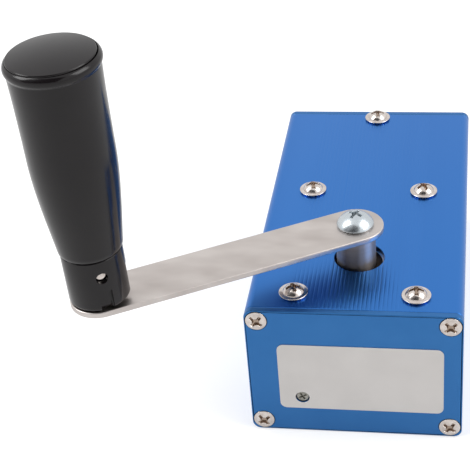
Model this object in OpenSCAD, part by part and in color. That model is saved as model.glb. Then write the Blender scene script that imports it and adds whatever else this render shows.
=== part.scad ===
// Hand crank generator. An extruded aluminium case holds a gear train, a motor
// used as a generator, a control board and two output sockets. A steel crank
// with a revolving handle drives it; the handle lifts a little and folds down.
// Millimetres and degrees. X runs across the case, Y from the front plate to
// the rear plate, Z up. The origin is the centre of the case's bottom face.
// Sizes named full_ hold for a case of full size, and shrink with a smaller case.

/* [Case] */
// Width of the case
case_w = 63; // [60:0.5:80]
// Height of the case
case_h = 45; // [45:0.5:60]
// Length of the case with both end plates
case_l = 117; // [117:1:180]
// Thickness of the extrusion's walls
case_wall = 2; // [1.6:0.1:2.4]
// Radius of the case's four long edges
case_corner_r = 2.5; // [2:0.25:6]
// Thickness of the end plates
plate_t = 2; // [1.5:0.1:3]
// Distance of the corner screws from the case's sides
corner_screw_inset = 3.6; // [3.4:0.1:4.5]
// Thread diameter of the corner screws
corner_screw_d = 3; // [2.5:0.1:3]
// Head diameter of the corner screws
corner_head_d = 6.3; // [5.5:0.1:6.6]
// Length of the corner screws below the head's rim
corner_screw_l = 10; // [6:0.5:16]

/* [Top face] */
// Number of fine grooves along the top
groove_count = 31; // [0:1:37]
// Distance between the grooves
groove_pitch = 1.2; // [0.9:0.05:1.3]
// Width of a groove
groove_w = 0.5; // [0.3:0.05:0.7]
// Depth of a groove
groove_depth = 0.25; // [0.1:0.05:0.5]
// Diameter of the hole that the crank shaft comes out of
shaft_hole_d = 15; // [14.5:0.1:18]

/* [Label] */
// Width of the plate left free beside the label, both sides together
label_free_w = 14.5; // [13:0.5:23]
// Height of the plate left free above and below the label, together
label_free_h = 21; // [19:0.5:25]
// Thickness of the label
label_t = 0.3; // [0.2:0.05:0.6]
// Corner radius of the label
label_r = 2; // [0.5:0.25:4]
// Shift of the label's middle from the plate's middle, across
label_shift_x = 1.8; // [-2:0.1:2]
// Shift of the label's middle from the plate's middle, down
label_drop = 1.5; // [0:0.1:3]
// Diameter of the hole through the label and plate to the trimmer
trimmer_hole_d = 4.2; // [3.5:0.1:6]
// Distance of the trimmer's hole from the label's left edge
trimmer_inset = 6.8; // [5:0.1:10]
// Height of the trimmer's hole
trimmer_z = 13.2; // [13.2:0.1:15]

/* [Gearbox screws] */
// Distance between the left and right gearbox screws
full_gearbox_screw_pitch_x = 35.6; // [34:0.1:37]
// Distance from the front of the case to the front gearbox screws
full_gearbox_screw_front = 9.2; // [8.5:0.1:10]
// Distance between the front and rear gearbox screws
full_gearbox_screw_pitch_y = 55.7; // [55:0.1:60]
// Thread diameter of the gearbox screws
gearbox_screw_d = 4; // [3:0.1:4]
// Flange diameter of the gearbox screws
flange_d = 8.6; // [8:0.1:10]
// Thickness of the flange
flange_t = 0.9; // [0.6:0.1:1.4]
// Diameter of the domed head on the flange
dome_d = 6.2; // [5:0.1:7]
// Height of the domed head above the flange
dome_h = 1.9; // [1.2:0.1:2.4]
// Length of the gearbox screws below the flange
full_gearbox_screw_l = 10; // [7:0.5:12]
// Distance from the rear of the case to the single screw
bracket_screw_rear = 4.9; // [4.5:0.1:8]

/* [Gearbox] */
// Thickness of the two gear plates
full_gear_plate_t = 2; // [1.5:0.1:2.2]
// Half of the width of the gear plates
full_gear_plate_half_w = 23.8; // [22:0.1:24]
// Clear height between the gear plates
full_deck_h = 12; // [12:0.1:12.6]
// Diameter of the posts between the gear plates
full_post_d = 7; // [6:0.1:7]
// Distance of the crank shaft from the case's front
full_crank_from_front = 28.2; // [28:0.1:30]
// Shift of the crank shaft from the case's middle
crank_shift_x = -0.9; // [-1.2:0.1:0]
// Tooth module of the first gear pair
module_1 = 0.8; // [0.76:0.01:0.8]
// Tooth module of the second gear pair
module_2 = 0.6; // [0.58:0.01:0.62]
// Tooth module of the third gear pair
module_3 = 0.5; // [0.48:0.01:0.5]
// Thickness of the main gear
full_main_gear_t = 3.6; // [3:0.1:4]
// Thickness of the second pair's wheel
full_wheel_2_t = 3.2; // [2.5:0.1:3.4]
// Thickness of the third pair's wheel
full_wheel_3_t = 3; // [2.5:0.1:3.4]
// Diameter of the fixed gear axles
full_axle_d = 3; // [2.4:0.1:3]

/* [Motor] */
// Diameter of the motor's can
full_motor_d = 34; // [30:0.5:36]
// Height of the motor's can
full_motor_h = 18; // [16:0.25:18]
// Wall of the motor's can
full_motor_wall = 1; // [0.8:0.1:1.4]
// Diameter of the motor's shaft
full_motor_shaft_d = 3; // [2.4:0.1:3]
// Height of the end cap below the can
full_end_cap_h = 3.4; // [2.6:0.1:4]
// Thickness of the magnets
full_magnet_t = 3; // [2:0.1:3.4]
// Gap between the armature and the magnets
full_air_gap = 0.6; // [0.4:0.05:1]

/* [Crank] */
// Distance between the crank shaft and the handle
crank_r = 79; // [75:0.5:95]
// Direction of the crank at rest, from +X
crank_angle = 209; // [200:1:220]
// Width of the crank arm
arm_w = 16.8; // [15:0.1:20]
// Thickness of the crank arm
arm_t = 1.8; // [1.6:0.1:3]
// Height of the arm's underside above the case
arm_rise = 10; // [7:0.1:14]
// Diameter of the shaft's visible part
shaft_d = 11.8; // [11:0.1:12.4]
// Diameter of the shaft's lower journal
journal_d = 8; // [6:0.1:8.4]
// Head diameter of the crank screw
crank_head_d = 11; // [10:0.1:13]
// Head height of the crank screw
crank_head_h = 4; // [3:0.1:5]
// Thread diameter of the crank screw
crank_screw_d = 5; // [4:0.1:5]

/* [Handle] */
// Lean of the upright handle away from the crank shaft, from play at its foot
handle_lean = 1.8; // [0:0.1:2.8]
// Height of the hinge pin above the arm
pin_h = 11.5; // [10.8:0.1:12]
// Diameter of the hinge pin
pin_d = 3; // [2.5:0.1:3.2]
// Angle that the handle folds through
fold_angle = 90; // [80:1:90]
// Distance that the sleeve lifts over the whole fold
lock_lift = 5; // [4.6:0.1:5]
// Diameter of the swivel sleeve
sleeve_d = 17.5; // [17.4:0.1:19]
// Height of the sleeve's upper rim above the arm
sleeve_top = 16.9; // [16.1:0.1:17.5]
// Gap under the sleeve when the handle is upright
sleeve_gap = 0.55; // [0.55:0.05:0.8]
// Thickness of the foot's blade, along the hinge pin
foot_t = 6; // [5:0.1:6]
// Width of the foot's blade, along the arm
foot_w = 7.4; // [6.8:0.1:7.4]
// Diameter of the sleeve's bore
sleeve_bore_d = 10.8; // [10.6:0.1:11]
// Diameter of the tube that the grip turns on
spindle_d = 9; // [8:0.1:9.4]
// Bore of the spindle tube
spindle_bore_d = 7; // [6.4:0.1:7.2]
// Diameter of the handle rod
rod_d = 4; // [3:0.1:4]

/* [Grip] */
// Diameter of the grip's lower edge
grip_edge_d = 16.8; // [16:0.1:18]
// Diameter of the grip where its edge chamfer ends
grip_foot_d = 18.3; // [17:0.1:19]
// Diameter of the grip halfway up, where its taper ends
grip_belly_d = 23.8; // [22:0.1:26]
// Diameter of the grip's neck under the rim
grip_neck_d = 24.2; // [21:0.1:25]
// Diameter of the grip's rim
grip_rim_d = 25.8; // [25:0.1:28]
// Radius of the grip's rounded rim
grip_rim_r = 2; // [1:0.1:2.4]
// Height of the grip's rim above the arm
grip_top = 76.3; // [74:0.1:84]
// Diameter of the end cap
cap_d = 23.2; // [20:0.1:23.6]
// Height of the end cap's crown above the rim
cap_crown = 1.2; // [0.5:0.1:2.5]

/* [Control board] */
// Thickness of the boards
board_t = 1.6; // [1:0.1:1.6]
// Length of the control board
full_board_l = 52; // [48:0.5:53]
// Height of the board's underside above the case's floor
board_rise = 5.4; // [5.2:0.1:5.6]
// Depth of the slots that hold the board
board_slot_depth = 1.6; // [1:0.1:2]

/* [Output sockets] */
// Distance of the sockets from the case's middle
socket_x = 10.5; // [9:0.1:12]
// Height of the sockets
socket_z = 18; // [15:0.1:22]
// Width of the USB shell
usb_w = 13.2; // [13:0.1:13.4]
// Height of the USB shell
usb_h = 5.8; // [5.6:0.1:6]
// Depth of the sockets behind the rear plate's outer face
socket_l = 14; // [13:0.1:14.5]
// Diameter of the round socket's barrel
barrel_d = 8; // [7.6:0.1:9]
// Bore of the round socket
barrel_bore_d = 6.2; // [5.5:0.1:6.4]

/* [Hidden] */
$fn = 64;
// Sides of the large circles that shallow domes are cut from
cap_fn = 360;
// Overrun of every cut past the face that it opens
cut = 1;
// Gap between pieces that are pressed or screwed together
seat_clear = 0.02;
// Radial gap of every turning fit
run_clear = 0.05;
// Gap between pieces that pass each other without touching
free_clear = 0.3;
// Gap round a screw in a plate
hole_clear = 0.2;

// Colours
blue_anodised = [0.20, 0.42, 0.72];
stainless = [0.78, 0.76, 0.73];
zinc = [0.72, 0.76, 0.82];
nickel = [0.80, 0.78, 0.74];
dark_steel = [0.45, 0.46, 0.48];
brass = [0.80, 0.66, 0.36];
bronze = [0.70, 0.50, 0.30];
black_plastic = [0.10, 0.10, 0.11];
label_grey = [0.78, 0.77, 0.75];
board_green = [0.10, 0.35, 0.20];
copper = [0.75, 0.42, 0.25];
lead_red = [0.70, 0.10, 0.08];
trimmer_blue = [0.15, 0.30, 0.60];

// Case for which the full sizes of the gear train, the motor and the control board are given
full_case = [63, 45, 117];
// Part of their full size that they take, so that they fit in this case
fit = min(case_w / full_case[0], case_h / full_case[1], case_l / full_case[2]);
gearbox_screw_pitch_x = full_gearbox_screw_pitch_x * fit;
gearbox_screw_front = full_gearbox_screw_front * fit;
gearbox_screw_pitch_y = full_gearbox_screw_pitch_y * fit;
gearbox_screw_l = full_gearbox_screw_l * fit;
gear_plate_t = full_gear_plate_t * fit;
gear_plate_half_w = full_gear_plate_half_w * fit;
deck_h = full_deck_h * fit;
post_d = full_post_d * fit;
crank_from_front = full_crank_from_front * fit;
mod_1 = module_1 * fit;
mod_2 = module_2 * fit;
mod_3 = module_3 * fit;
main_gear_t = full_main_gear_t * fit;
wheel_2_t = full_wheel_2_t * fit;
wheel_3_t = full_wheel_3_t * fit;
axle_d = full_axle_d * fit;
motor_d = full_motor_d * fit;
motor_h = full_motor_h * fit;
motor_wall = full_motor_wall * fit;
motor_shaft_d = full_motor_shaft_d * fit;
end_cap_h = full_end_cap_h * fit;
magnet_t = full_magnet_t * fit;
air_gap = full_air_gap * fit;
board_l = full_board_l * fit;

// Case: places that follow from its size
front_y = -case_l / 2;
rear_y = case_l / 2;
inner_front_y = front_y + plate_t;
inner_rear_y = rear_y - plate_t;
ceiling_z = case_h - case_wall;
corner_x = case_w / 2 - corner_screw_inset;
corner_z_low = corner_screw_inset;
corner_z_high = case_h - corner_screw_inset;
label_w = case_w - label_free_w;
label_h = case_h - label_free_h;
trimmer_x = label_shift_x - label_w / 2 + trimmer_inset;
channel_wall = 1.2;
channel_r = corner_screw_d / 2 + channel_wall;
corner_head_rise = 0.7;
// Size of a cross recess as shares of its head
recess_w_share = 0.55;
recess_t_share = 0.12;
// Turn of the cross recess in the corner screws
corner_recess_turn = 45;
corner_head_cone = (corner_head_d - corner_screw_d) / 2;

// Gearbox: heights from the ceiling down, and axes one behind the other
post_x = gearbox_screw_pitch_x / 2;
post_y_front = front_y + gearbox_screw_front;
post_y_rear = post_y_front + gearbox_screw_pitch_y;
upper_plate_z = ceiling_z - gear_plate_t;
lower_plate_z = upper_plate_z - deck_h - gear_plate_t;
deck_floor_z = lower_plate_z + gear_plate_t;
crank_x = crank_shift_x;
crank_y = front_y + crank_from_front;
main_teeth = 50;
pinion_teeth = 12;
wheel_2_teeth = 40;
wheel_3_teeth = 36;
pressure_angle = 20;
backlash = 0.12;
// Share of the module that a tooth stands above the pitch circle, and reaches below it
addendum_share = 0.9;
dedendum_share = 1.2;
axis_2_y = crank_y + mod_1 * (main_teeth + pinion_teeth) / 2;
axis_3_y = axis_2_y + mod_2 * (wheel_2_teeth + pinion_teeth) / 2;
motor_y = axis_3_y + mod_3 * (wheel_3_teeth + pinion_teeth) / 2;
motor_x = crank_x;
plate_margin = 5;
upper_plate_rear = post_y_rear + post_d / 2 + plate_margin;
motor_margin = 1;
lower_plate_rear = motor_y + motor_d / 2 - motor_margin;
plate_front = post_y_front - post_d / 2 - motor_margin;
plate_corner_r = 3;

// Levels of the gears above the deck's floor
level_gap = 0.4;
end_float = 0.3;
// Head of the screws in the posts as shares of their thread, and their reach as a share of the post
post_head_d_share = 1.7;
post_head_h_share = 0.55;
post_screw_share = 0.33;
// Holes in the main gear as a share of its web
gear_hole_share = 0.6;
low_level_z = deck_floor_z + end_float + 2 * level_gap;
main_gear_z = low_level_z + wheel_2_t + 4 * level_gap;
pinion_2_z = low_level_z + wheel_2_t;
pinion_2_t = main_gear_z + main_gear_t + level_gap - pinion_2_z;
pinion_3_z = low_level_z - level_gap;
pinion_3_t = main_gear_z - pinion_3_z;
motor_pinion_z = main_gear_z - level_gap * 2;
motor_pinion_t = wheel_3_t + level_gap * 4;
collar_wall = 1.5;

// Crank shaft
arm_z = case_h + arm_rise;
arm_top_z = arm_z + arm_t;
gear_seat_d = 10;
bush_wall = 2;
bush_flange = 1.4;
bush_flange_t = 0.9;
clip_t = 0.8;
clip_groove_depth = 0.8;
clip_ear = 2.2;
journal_tail = 0.8;
clip_z = lower_plate_z - end_float - clip_t;
shaft_bottom_z = clip_z - journal_tail;
shaft_step_z = deck_floor_z + bush_flange_t + end_float;
tenon_d = 8;
tenon_flat = 6;
tenon_drop = 0.2;
crank_thread_l = 12;
// Straight rim of the crank screw's head as a share of its height
crank_rim_share = 0.3;

// Motor
motor_top_z = lower_plate_z;
motor_bottom_z = motor_top_z - motor_h;
cap_bottom_z = motor_bottom_z - end_cap_h;
motor_boss_d = 10;
motor_boss_h = 1.6;
motor_screw_d = 2.5;
motor_screw_pitch = 18;
motor_head_d = 4.6;
motor_head_h = 1.6;
motor_screw_grip = 3;
magnet_r = motor_d / 2 - motor_wall - seat_clear;
armature_r = magnet_r - magnet_t - air_gap;
armature_h = 9;
armature_top_gap = 2;
armature_z = motor_top_z - motor_wall - armature_top_gap - armature_h;
armature_slots = 7;
armature_slot_w = 1.8;
armature_slot_depth_share = 0.6;
// Gap between the magnets as a share of the can, and the end cap's plug as a share of the can's wall
magnet_part_share = 0.62;
plug_share = 1.2;
commutator_d = 8;
commutator_z = motor_bottom_z + free_clear;
commutator_h = armature_z - commutator_z;
motor_bush_d = 6;
brush_w = 2.4;
brush_h = 2.6;
brush_l = 4;
terminal_w = 14;
terminal_l = 5;

// Handle
hinge_z = arm_top_z + pin_h;
fold_radians = fold_angle * PI / 180;
lift_per_radian = lock_lift / fold_radians;
fork_clear = 0.2;
fork_d = sleeve_bore_d - 2 * fork_clear - fork_clear;
fork_gap = foot_t + 2 * fork_clear;
eye_clear = 0.3;
slot_clear = 0.4;
fork_bridge = 2.4;
fork_top = pin_h + foot_w / 2 + eye_clear + fork_bridge;
sleeve_cavity_top = fork_top + fork_clear;
shoulder_t = 1.2;
tube_seat = 1.6;
neck_wall = 1.1;
neck_d = sleeve_bore_d + 2 * neck_wall;
neck_top = sleeve_cavity_top + shoulder_t + tube_seat;
sleeve_edge_r = 0.5;
sleeve_foot_r = 1.2;
seam = 0.3;
grip_bottom = sleeve_top + seam;
spring_wire = 0.8;
spring_rest_l = 22;
spring_bottom = sleeve_cavity_top + shoulder_t;
nut_z = spring_bottom + spring_rest_l;
nut_h = 3;
nut_d = spindle_bore_d - 2 * fork_clear;
washer_d = 14;
washer_t = 1;
end_play = 0.3;
recess_d = 18;
cap_skirt = 4;
cap_edge_rise = 0.1;
cap_groove = 0.35;
cap_seat_depth = 2.2;
tube_top = grip_top - cap_seat_depth - cap_skirt - washer_t;
grip_floor = tube_top - end_play;
grip_screw_head_d = 8;
grip_screw_head_h = 2;
grip_screw_l = 12;
notch_w = 3.6;
notch_h = 1.4;
slit_w = 0.8;
slit_h = 6.4;
slit_depth = 0.8;
slit_turn = 13.5;
pin_hole_clear = 0.2;
rivet_d = 6;
rivet_head_d = 9.5;
rivet_head_h = 1.2;
blade_edge = 0.2;

// Boards and sockets
board_z = case_wall + board_rise;
board_top_z = board_z + board_t;
board_front_y = inner_front_y + free_clear;
board_rear_y = board_front_y + board_l;
inner_half_w = case_w / 2 - case_wall;
guide_t = 1.2;
guide_reach = board_slot_depth + free_clear;
board_half_w = inner_half_w - free_clear;
socket_board_y = rear_y - socket_l - board_t;
socket_board_side_gap = 6.8;
socket_board_half_w = inner_half_w - socket_board_side_gap;
socket_board_z = 6;
socket_board_drop = 5;
socket_board_top = ceiling_z - socket_board_drop;
bracket_t = 1.5;
bracket_half_w = 9;
bracket_drop = 12;
bracket_front_y = socket_board_y + board_t;
bracket_reach = inner_rear_y - free_clear - bracket_front_y;
bracket_screw_y = rear_y - bracket_screw_rear;
bracket_screw_l = 5;
board_screw_d = 3;
board_head_d = 5.5;
board_head_h = 1.8;
board_screw_l = 6;
board_screw_x = bracket_half_w - board_head_d / 2 - bracket_t;
board_screw_z = ceiling_z - bracket_drop + board_head_d / 2 + bracket_t;
shell_wall = 0.35;
tongue_w = 11.1;
tongue_t = 1.84;
tongue_back = 4;
tongue_seat_l = 1.4;
tongue_setback = 0.7;
barrel_depth = 9.5;
barrel_block = 9.4;
centre_pin_d = 2.1;
lead_d = 1.6;
lead_pitch = 4;
lead_straight = 2;
connector_w = 9;
connector_l = 6;
connector_h = 6;
motor_connector_x = motor_x;
output_connector_inset = 8.2;
output_connector_x = board_half_w - output_connector_inset;
lead_z = board_top_z + connector_h / 2;
trimmer_w = 4.8;
trimmer_l = 9.5;
trimmer_h = 9.6;
trimmer_screw_d = 2.6;
trimmer_screw_l = 1.4;
trimmer_slot_w = 0.6;
trimmer_slot_depth = 0.5;
trimmer_setback = 1.4;
trimmer_front_y = board_front_y + trimmer_screw_l + trimmer_setback;
capacitor_d = 10;
capacitor_h = 12.5;
capacitor_edge_r = 0.8;
capacitor_gap = 2;
capacitor_inset = 11.2;
coil_ring_d = 13;
coil_wire_d = 4.6;
coil_inset = 9;
bridge_l = 14;
bridge_w = 5;
bridge_h = 9;
chip_w = 10;
chip_l = 9;
chip_h = 4.4;
tab_t = 1.3;
tab_l = 5;

// Involute of an angle, in degrees
function involute(a) = tan(a) * 180 / PI - a;

// Half of the angle that a tooth fills at radius r, on a gear of n teeth with pitch radius p
function tooth_half(n, p, r) =
    let (b = p * cos(pressure_angle), a = acos(min(1, b / max(r, b))))
    90 / n - backlash / 2 / p * 90 / PI + involute(pressure_angle) - involute(a);

// Radii at which one flank of a tooth is drawn, from its root to its tip
function flank_radii(n, m) =
    let (p = m * n / 2, root = p - m * dedendum_share, tip = p + m * addendum_share,
        base = p * cos(pressure_angle))
    base > root ? [root, base, (base + p) / 2, p, (p + tip) / 2, tip] : [root, (root + p) / 2, p, tip];

// Outline of a spur gear of n teeth of module m, with a tooth or a gap at angle turn
function gear_points(n, m, turn) =
    let (radii = flank_radii(n, m), p = m * n / 2, last = len(radii) - 1)
    [for (i = [0:n - 1]) for (j = [0:2 * last + 1])
        let (k = j <= last ? j : 2 * last + 1 - j,
            side = j <= last ? -1 : 1,
            a = turn + 360 * i / n + side * tooth_half(n, p, radii[k]))
        radii[k] * [cos(a), sin(a)]];

// A gear with a tooth pointing at the next axis, +Y
module driving_gear(n, m, t) {
    linear_extrude(height = t) polygon(gear_points(n, m, 90));
}

// A gear with a gap facing the axis before it, -Y
module driven_gear(n, m, t) {
    linear_extrude(height = t) polygon(gear_points(n, m, 180 / n - 90));
}

module rounded_square(w, h, r) {
    square([w - 2 * r, h], center = true);
    square([w, h - 2 * r], center = true);
    for (x = [-1, 1], y = [-1, 1])
        translate([x * (w / 2 - r), y * (h / 2 - r)]) circle(r);
}

// A plate outline in X and Z, extruded from y towards the rear
module upright_plate(y, t) {
    translate([0, y + t, 0]) rotate([90, 0, 0]) linear_extrude(height = t) children();
}

// Half outline of a spherical cap of base radius r and height h, for rotate_extrude
module cap_outline(r, h) {
    ball = (r * r + h * h) / (2 * h);
    intersection() {
        translate([0, h - ball]) circle(ball, $fn = cap_fn);
        square([r, h]);
    }
}

// A cross recess sunk into the top of a head
module cross_recess(head_d, depth) {
    w = head_d * recess_w_share;
    t = head_d * recess_t_share;
    for (turn = [0, 90])
        rotate(turn) translate([-w / 2, -t / 2, -depth]) cube([w, t, depth + cut]);
}

module case_outline() {
    translate([0, case_h / 2]) rounded_square(case_w, case_h, case_corner_r);
}

module at_corners() {
    for (x = [-corner_x, corner_x], z = [corner_z_low, corner_z_high])
        translate([x, 0, z]) children();
}

module at_posts() {
    for (x = [-post_x, post_x], y = [post_y_front, post_y_rear])
        translate([x, y, 0]) children();
}

module at_crank() {
    translate([crank_x, crank_y, 0]) children();
}

// Places a piece in the crank's own frame: +X runs along the arm from the shaft
module on_crank() {
    at_crank() rotate(crank_angle) children();
}

// Places a piece in the handle's own frame: +Z runs up the handle from the arm's top face
module on_handle() {
    on_crank() translate([crank_r, 0, hinge_z]) rotate([0, handle_lean, 0])
        translate([0, 0, -pin_h]) children();
}

module case_outline_hollow() {
    inner_w = case_w - 2 * case_wall;
    inner_h = case_h - 2 * case_wall;
    difference() {
        case_outline();
        difference() {
            translate([0, case_h / 2]) square([inner_w, inner_h], center = true);
            for (x = [-corner_x, corner_x], z = [corner_z_low, corner_z_high])
                translate([x, z]) circle(channel_r);
            for (side = [-1, 1], z = [board_z - guide_t - free_clear / 2, board_top_z + free_clear / 2])
                translate([side * inner_half_w - guide_reach, z]) square([2 * guide_reach, guide_t]);
        }
        for (x = [-corner_x, corner_x], z = [corner_z_low, corner_z_high])
            translate([x, z]) circle(corner_screw_d / 2 + seat_clear);
        for (i = [0:1:groove_count - 1])
            translate([(i - (groove_count - 1) / 2) * groove_pitch - groove_w / 2, case_h - groove_depth])
                square([groove_w, groove_depth + cut]);
    }
}

module case_extrusion() {
    color(blue_anodised)
    difference() {
        upright_plate(inner_front_y, case_l - 2 * plate_t) case_outline_hollow();
        translate([0, crank_y, ceiling_z - cut]) cylinder(d = shaft_hole_d, h = case_wall + 2 * cut);
        at_posts() translate([0, 0, ceiling_z - cut])
            cylinder(d = gearbox_screw_d + 2 * hole_clear, h = case_wall + 2 * cut);
        translate([0, bracket_screw_y, ceiling_z - cut])
            cylinder(d = gearbox_screw_d + 2 * hole_clear, h = case_wall + 2 * cut);
    }
}

// Countersunk holes at the plate's corners, opening towards -Y from its outer face
module corner_holes() {
    at_corners() rotate([-90, 0, 0]) {
        translate([0, 0, -cut]) cylinder(d = corner_screw_d + 2 * hole_clear, h = plate_t + 2 * cut);
        cylinder(d1 = corner_head_d + 2 * seat_clear, d2 = corner_screw_d + 2 * seat_clear,
            h = corner_head_cone);
        translate([0, 0, -cut]) cylinder(d = corner_head_d + 2 * seat_clear, h = cut);
    }
}

module front_plate() {
    color(blue_anodised)
    difference() {
        upright_plate(front_y, plate_t) case_outline();
        translate([0, front_y, 0]) corner_holes();
        translate([trimmer_x, front_y - cut, trimmer_z]) rotate([-90, 0, 0])
            cylinder(d = trimmer_hole_d, h = plate_t + 2 * cut);
    }
}

module rear_plate() {
    color(blue_anodised)
    difference() {
        upright_plate(inner_rear_y, plate_t) case_outline();
        translate([0, rear_y, 0]) mirror([0, 1, 0]) corner_holes();
        translate([-socket_x - usb_w / 2 - hole_clear, inner_rear_y - cut, socket_z - usb_h / 2 - hole_clear])
            cube([usb_w + 2 * hole_clear, plate_t + 2 * cut, usb_h + 2 * hole_clear]);
        translate([socket_x, inner_rear_y - cut, socket_z]) rotate([-90, 0, 0])
            cylinder(d = barrel_d + 2 * hole_clear, h = plate_t + 2 * cut);
    }
}

// One countersunk screw with a raised head; its axis is Y and its point looks to +Y
module corner_screw() {
    rotate([-90, 0, 0]) {
        difference() {
            union() {
                cylinder(d1 = corner_head_d, d2 = corner_screw_d, h = corner_head_cone);
                rotate([180, 0, 0]) rotate_extrude() cap_outline(corner_head_d / 2, corner_head_rise);
            }
            rotate([180, 0, 0]) translate([0, 0, corner_head_rise]) rotate(corner_recess_turn)
                cross_recess(corner_head_d, corner_head_cone);
        }
        translate([0, 0, corner_head_cone])
            cylinder(d = corner_screw_d, h = corner_screw_l - corner_head_cone);
    }
}

module front_plate_screws() {
    color(nickel) translate([0, front_y, 0]) at_corners() corner_screw();
}

module rear_plate_screws() {
    color(nickel) translate([0, rear_y, 0]) mirror([0, 1, 0]) at_corners() corner_screw();
}

module label() {
    color(label_grey)
    difference() {
        upright_plate(front_y - label_t, label_t)
            translate([label_shift_x, case_h / 2 - label_drop]) rounded_square(label_w, label_h, label_r);
        translate([trimmer_x, front_y - label_t - cut, trimmer_z]) rotate([-90, 0, 0])
            cylinder(d = trimmer_hole_d, h = label_t + 2 * cut);
    }
}

// A washer head screw that points down, with its flange's underside at height zero
module flange_screw(length) {
    difference() {
        union() {
            cylinder(d = flange_d, h = flange_t);
            translate([0, 0, flange_t]) rotate_extrude() cap_outline(dome_d / 2, dome_h);
        }
        translate([0, 0, flange_t + dome_h])
            cross_recess(dome_d, dome_h);
    }
    translate([0, 0, -length]) cylinder(d = gearbox_screw_d, h = length);
}

module gearbox_screws() {
    color(nickel) translate([0, 0, case_h]) at_posts() flange_screw(gearbox_screw_l);
}

module bracket_screw() {
    color(nickel) translate([0, bracket_screw_y, case_h]) flange_screw(bracket_screw_l);
}

// Outline of a gear plate that reaches back to the given y
module gear_plate_outline(y_end) {
    translate([0, (plate_front + y_end) / 2])
        rounded_square(2 * gear_plate_half_w, y_end - plate_front, plate_corner_r);
}

module upper_gear_plate() {
    color(stainless)
    translate([0, 0, upper_plate_z]) difference() {
        linear_extrude(height = gear_plate_t) gear_plate_outline(upper_plate_rear);
        translate([0, 0, -cut]) {
            at_crank() cylinder(d = shaft_d + 2 * bush_wall, h = gear_plate_t + 2 * cut);
            at_posts() cylinder(d = gearbox_screw_d + 2 * hole_clear, h = gear_plate_t + 2 * cut);
            for (y = [axis_2_y, axis_3_y])
                translate([crank_x, y, 0]) cylinder(d = axle_d + 2 * seat_clear, h = gear_plate_t + 2 * cut);
        }
    }
}

module lower_gear_plate() {
    color(stainless)
    translate([0, 0, lower_plate_z]) difference() {
        linear_extrude(height = gear_plate_t) gear_plate_outline(lower_plate_rear);
        translate([0, 0, -cut]) {
            at_crank() cylinder(d = journal_d + 2 * bush_wall, h = gear_plate_t + 2 * cut);
            at_posts() cylinder(d = gearbox_screw_d + 2 * hole_clear, h = gear_plate_t + 2 * cut);
            for (y = [axis_2_y, axis_3_y])
                translate([crank_x, y, 0]) cylinder(d = axle_d + 2 * seat_clear, h = gear_plate_t + 2 * cut);
            translate([motor_x, motor_y, 0]) {
                cylinder(d = motor_boss_d + 2 * seat_clear, h = gear_plate_t + 2 * cut);
                for (side = [-1, 1]) translate([side * motor_screw_pitch / 2, 0, 0])
                    cylinder(d = motor_screw_d + 2 * hole_clear, h = gear_plate_t + 2 * cut);
            }
        }
    }
}

module plate_posts() {
    post_bore = gearbox_screw_d + 2 * seat_clear;
    color(nickel) translate([0, 0, deck_floor_z]) at_posts() difference() {
        cylinder(d = post_d, h = deck_h);
        translate([0, 0, -cut]) cylinder(d = post_bore, h = deck_h + 2 * cut);
    }
}

module post_screws() {
    head_d = gearbox_screw_d * post_head_d_share;
    head_h = gearbox_screw_d * post_head_h_share;
    length = gear_plate_t + deck_h * post_screw_share;
    color(nickel) translate([0, 0, lower_plate_z]) at_posts() {
        difference() {
            translate([0, 0, -head_h]) cylinder(d = head_d, h = head_h);
            mirror([0, 0, 1]) translate([0, 0, head_h]) cross_recess(head_d, head_h / 2);
        }
        cylinder(d = gearbox_screw_d, h = length);
    }
}

module upper_shaft_bush() {
    outer = shaft_d / 2 + bush_wall - seat_clear;
    color(bronze) at_crank() difference() {
        union() {
            translate([0, 0, upper_plate_z]) cylinder(r = outer, h = gear_plate_t);
            translate([0, 0, upper_plate_z - bush_flange_t])
                cylinder(r = outer + bush_flange, h = bush_flange_t);
        }
        translate([0, 0, upper_plate_z - bush_flange_t - cut])
            cylinder(r = shaft_d / 2 + run_clear, h = gear_plate_t + bush_flange_t + 2 * cut);
    }
}

module lower_shaft_bush() {
    outer = journal_d / 2 + bush_wall - seat_clear;
    color(bronze) at_crank() difference() {
        union() {
            translate([0, 0, lower_plate_z]) cylinder(r = outer, h = gear_plate_t);
            translate([0, 0, deck_floor_z]) cylinder(r = outer + bush_flange, h = bush_flange_t);
        }
        translate([0, 0, lower_plate_z - cut])
            cylinder(r = journal_d / 2 + run_clear, h = gear_plate_t + bush_flange_t + 2 * cut);
    }
}

module gear_axles() {
    color(nickel)
    for (y = [axis_2_y, axis_3_y])
        translate([crank_x, y, lower_plate_z]) cylinder(d = axle_d, h = ceiling_z - lower_plate_z);
}

module at_motor() {
    translate([motor_x, motor_y, 0]) children();
}

module motor_can() {
    color(nickel) at_motor() difference() {
        union() {
            translate([0, 0, motor_bottom_z]) cylinder(d = motor_d, h = motor_h);
            translate([0, 0, motor_top_z]) cylinder(d = motor_boss_d, h = motor_boss_h);
        }
        translate([0, 0, motor_bottom_z - cut])
            cylinder(d = motor_d - 2 * motor_wall, h = motor_h - motor_wall + cut);
        translate([0, 0, motor_top_z - 2 * motor_wall])
            cylinder(d = motor_bush_d + 2 * seat_clear, h = 2 * motor_wall + motor_boss_h + cut);
        for (side = [-1, 1])
            translate([side * motor_screw_pitch / 2, 0, motor_top_z - motor_wall - cut])
                cylinder(d = motor_screw_d + 2 * seat_clear, h = motor_wall + 2 * cut);
    }
}

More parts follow.
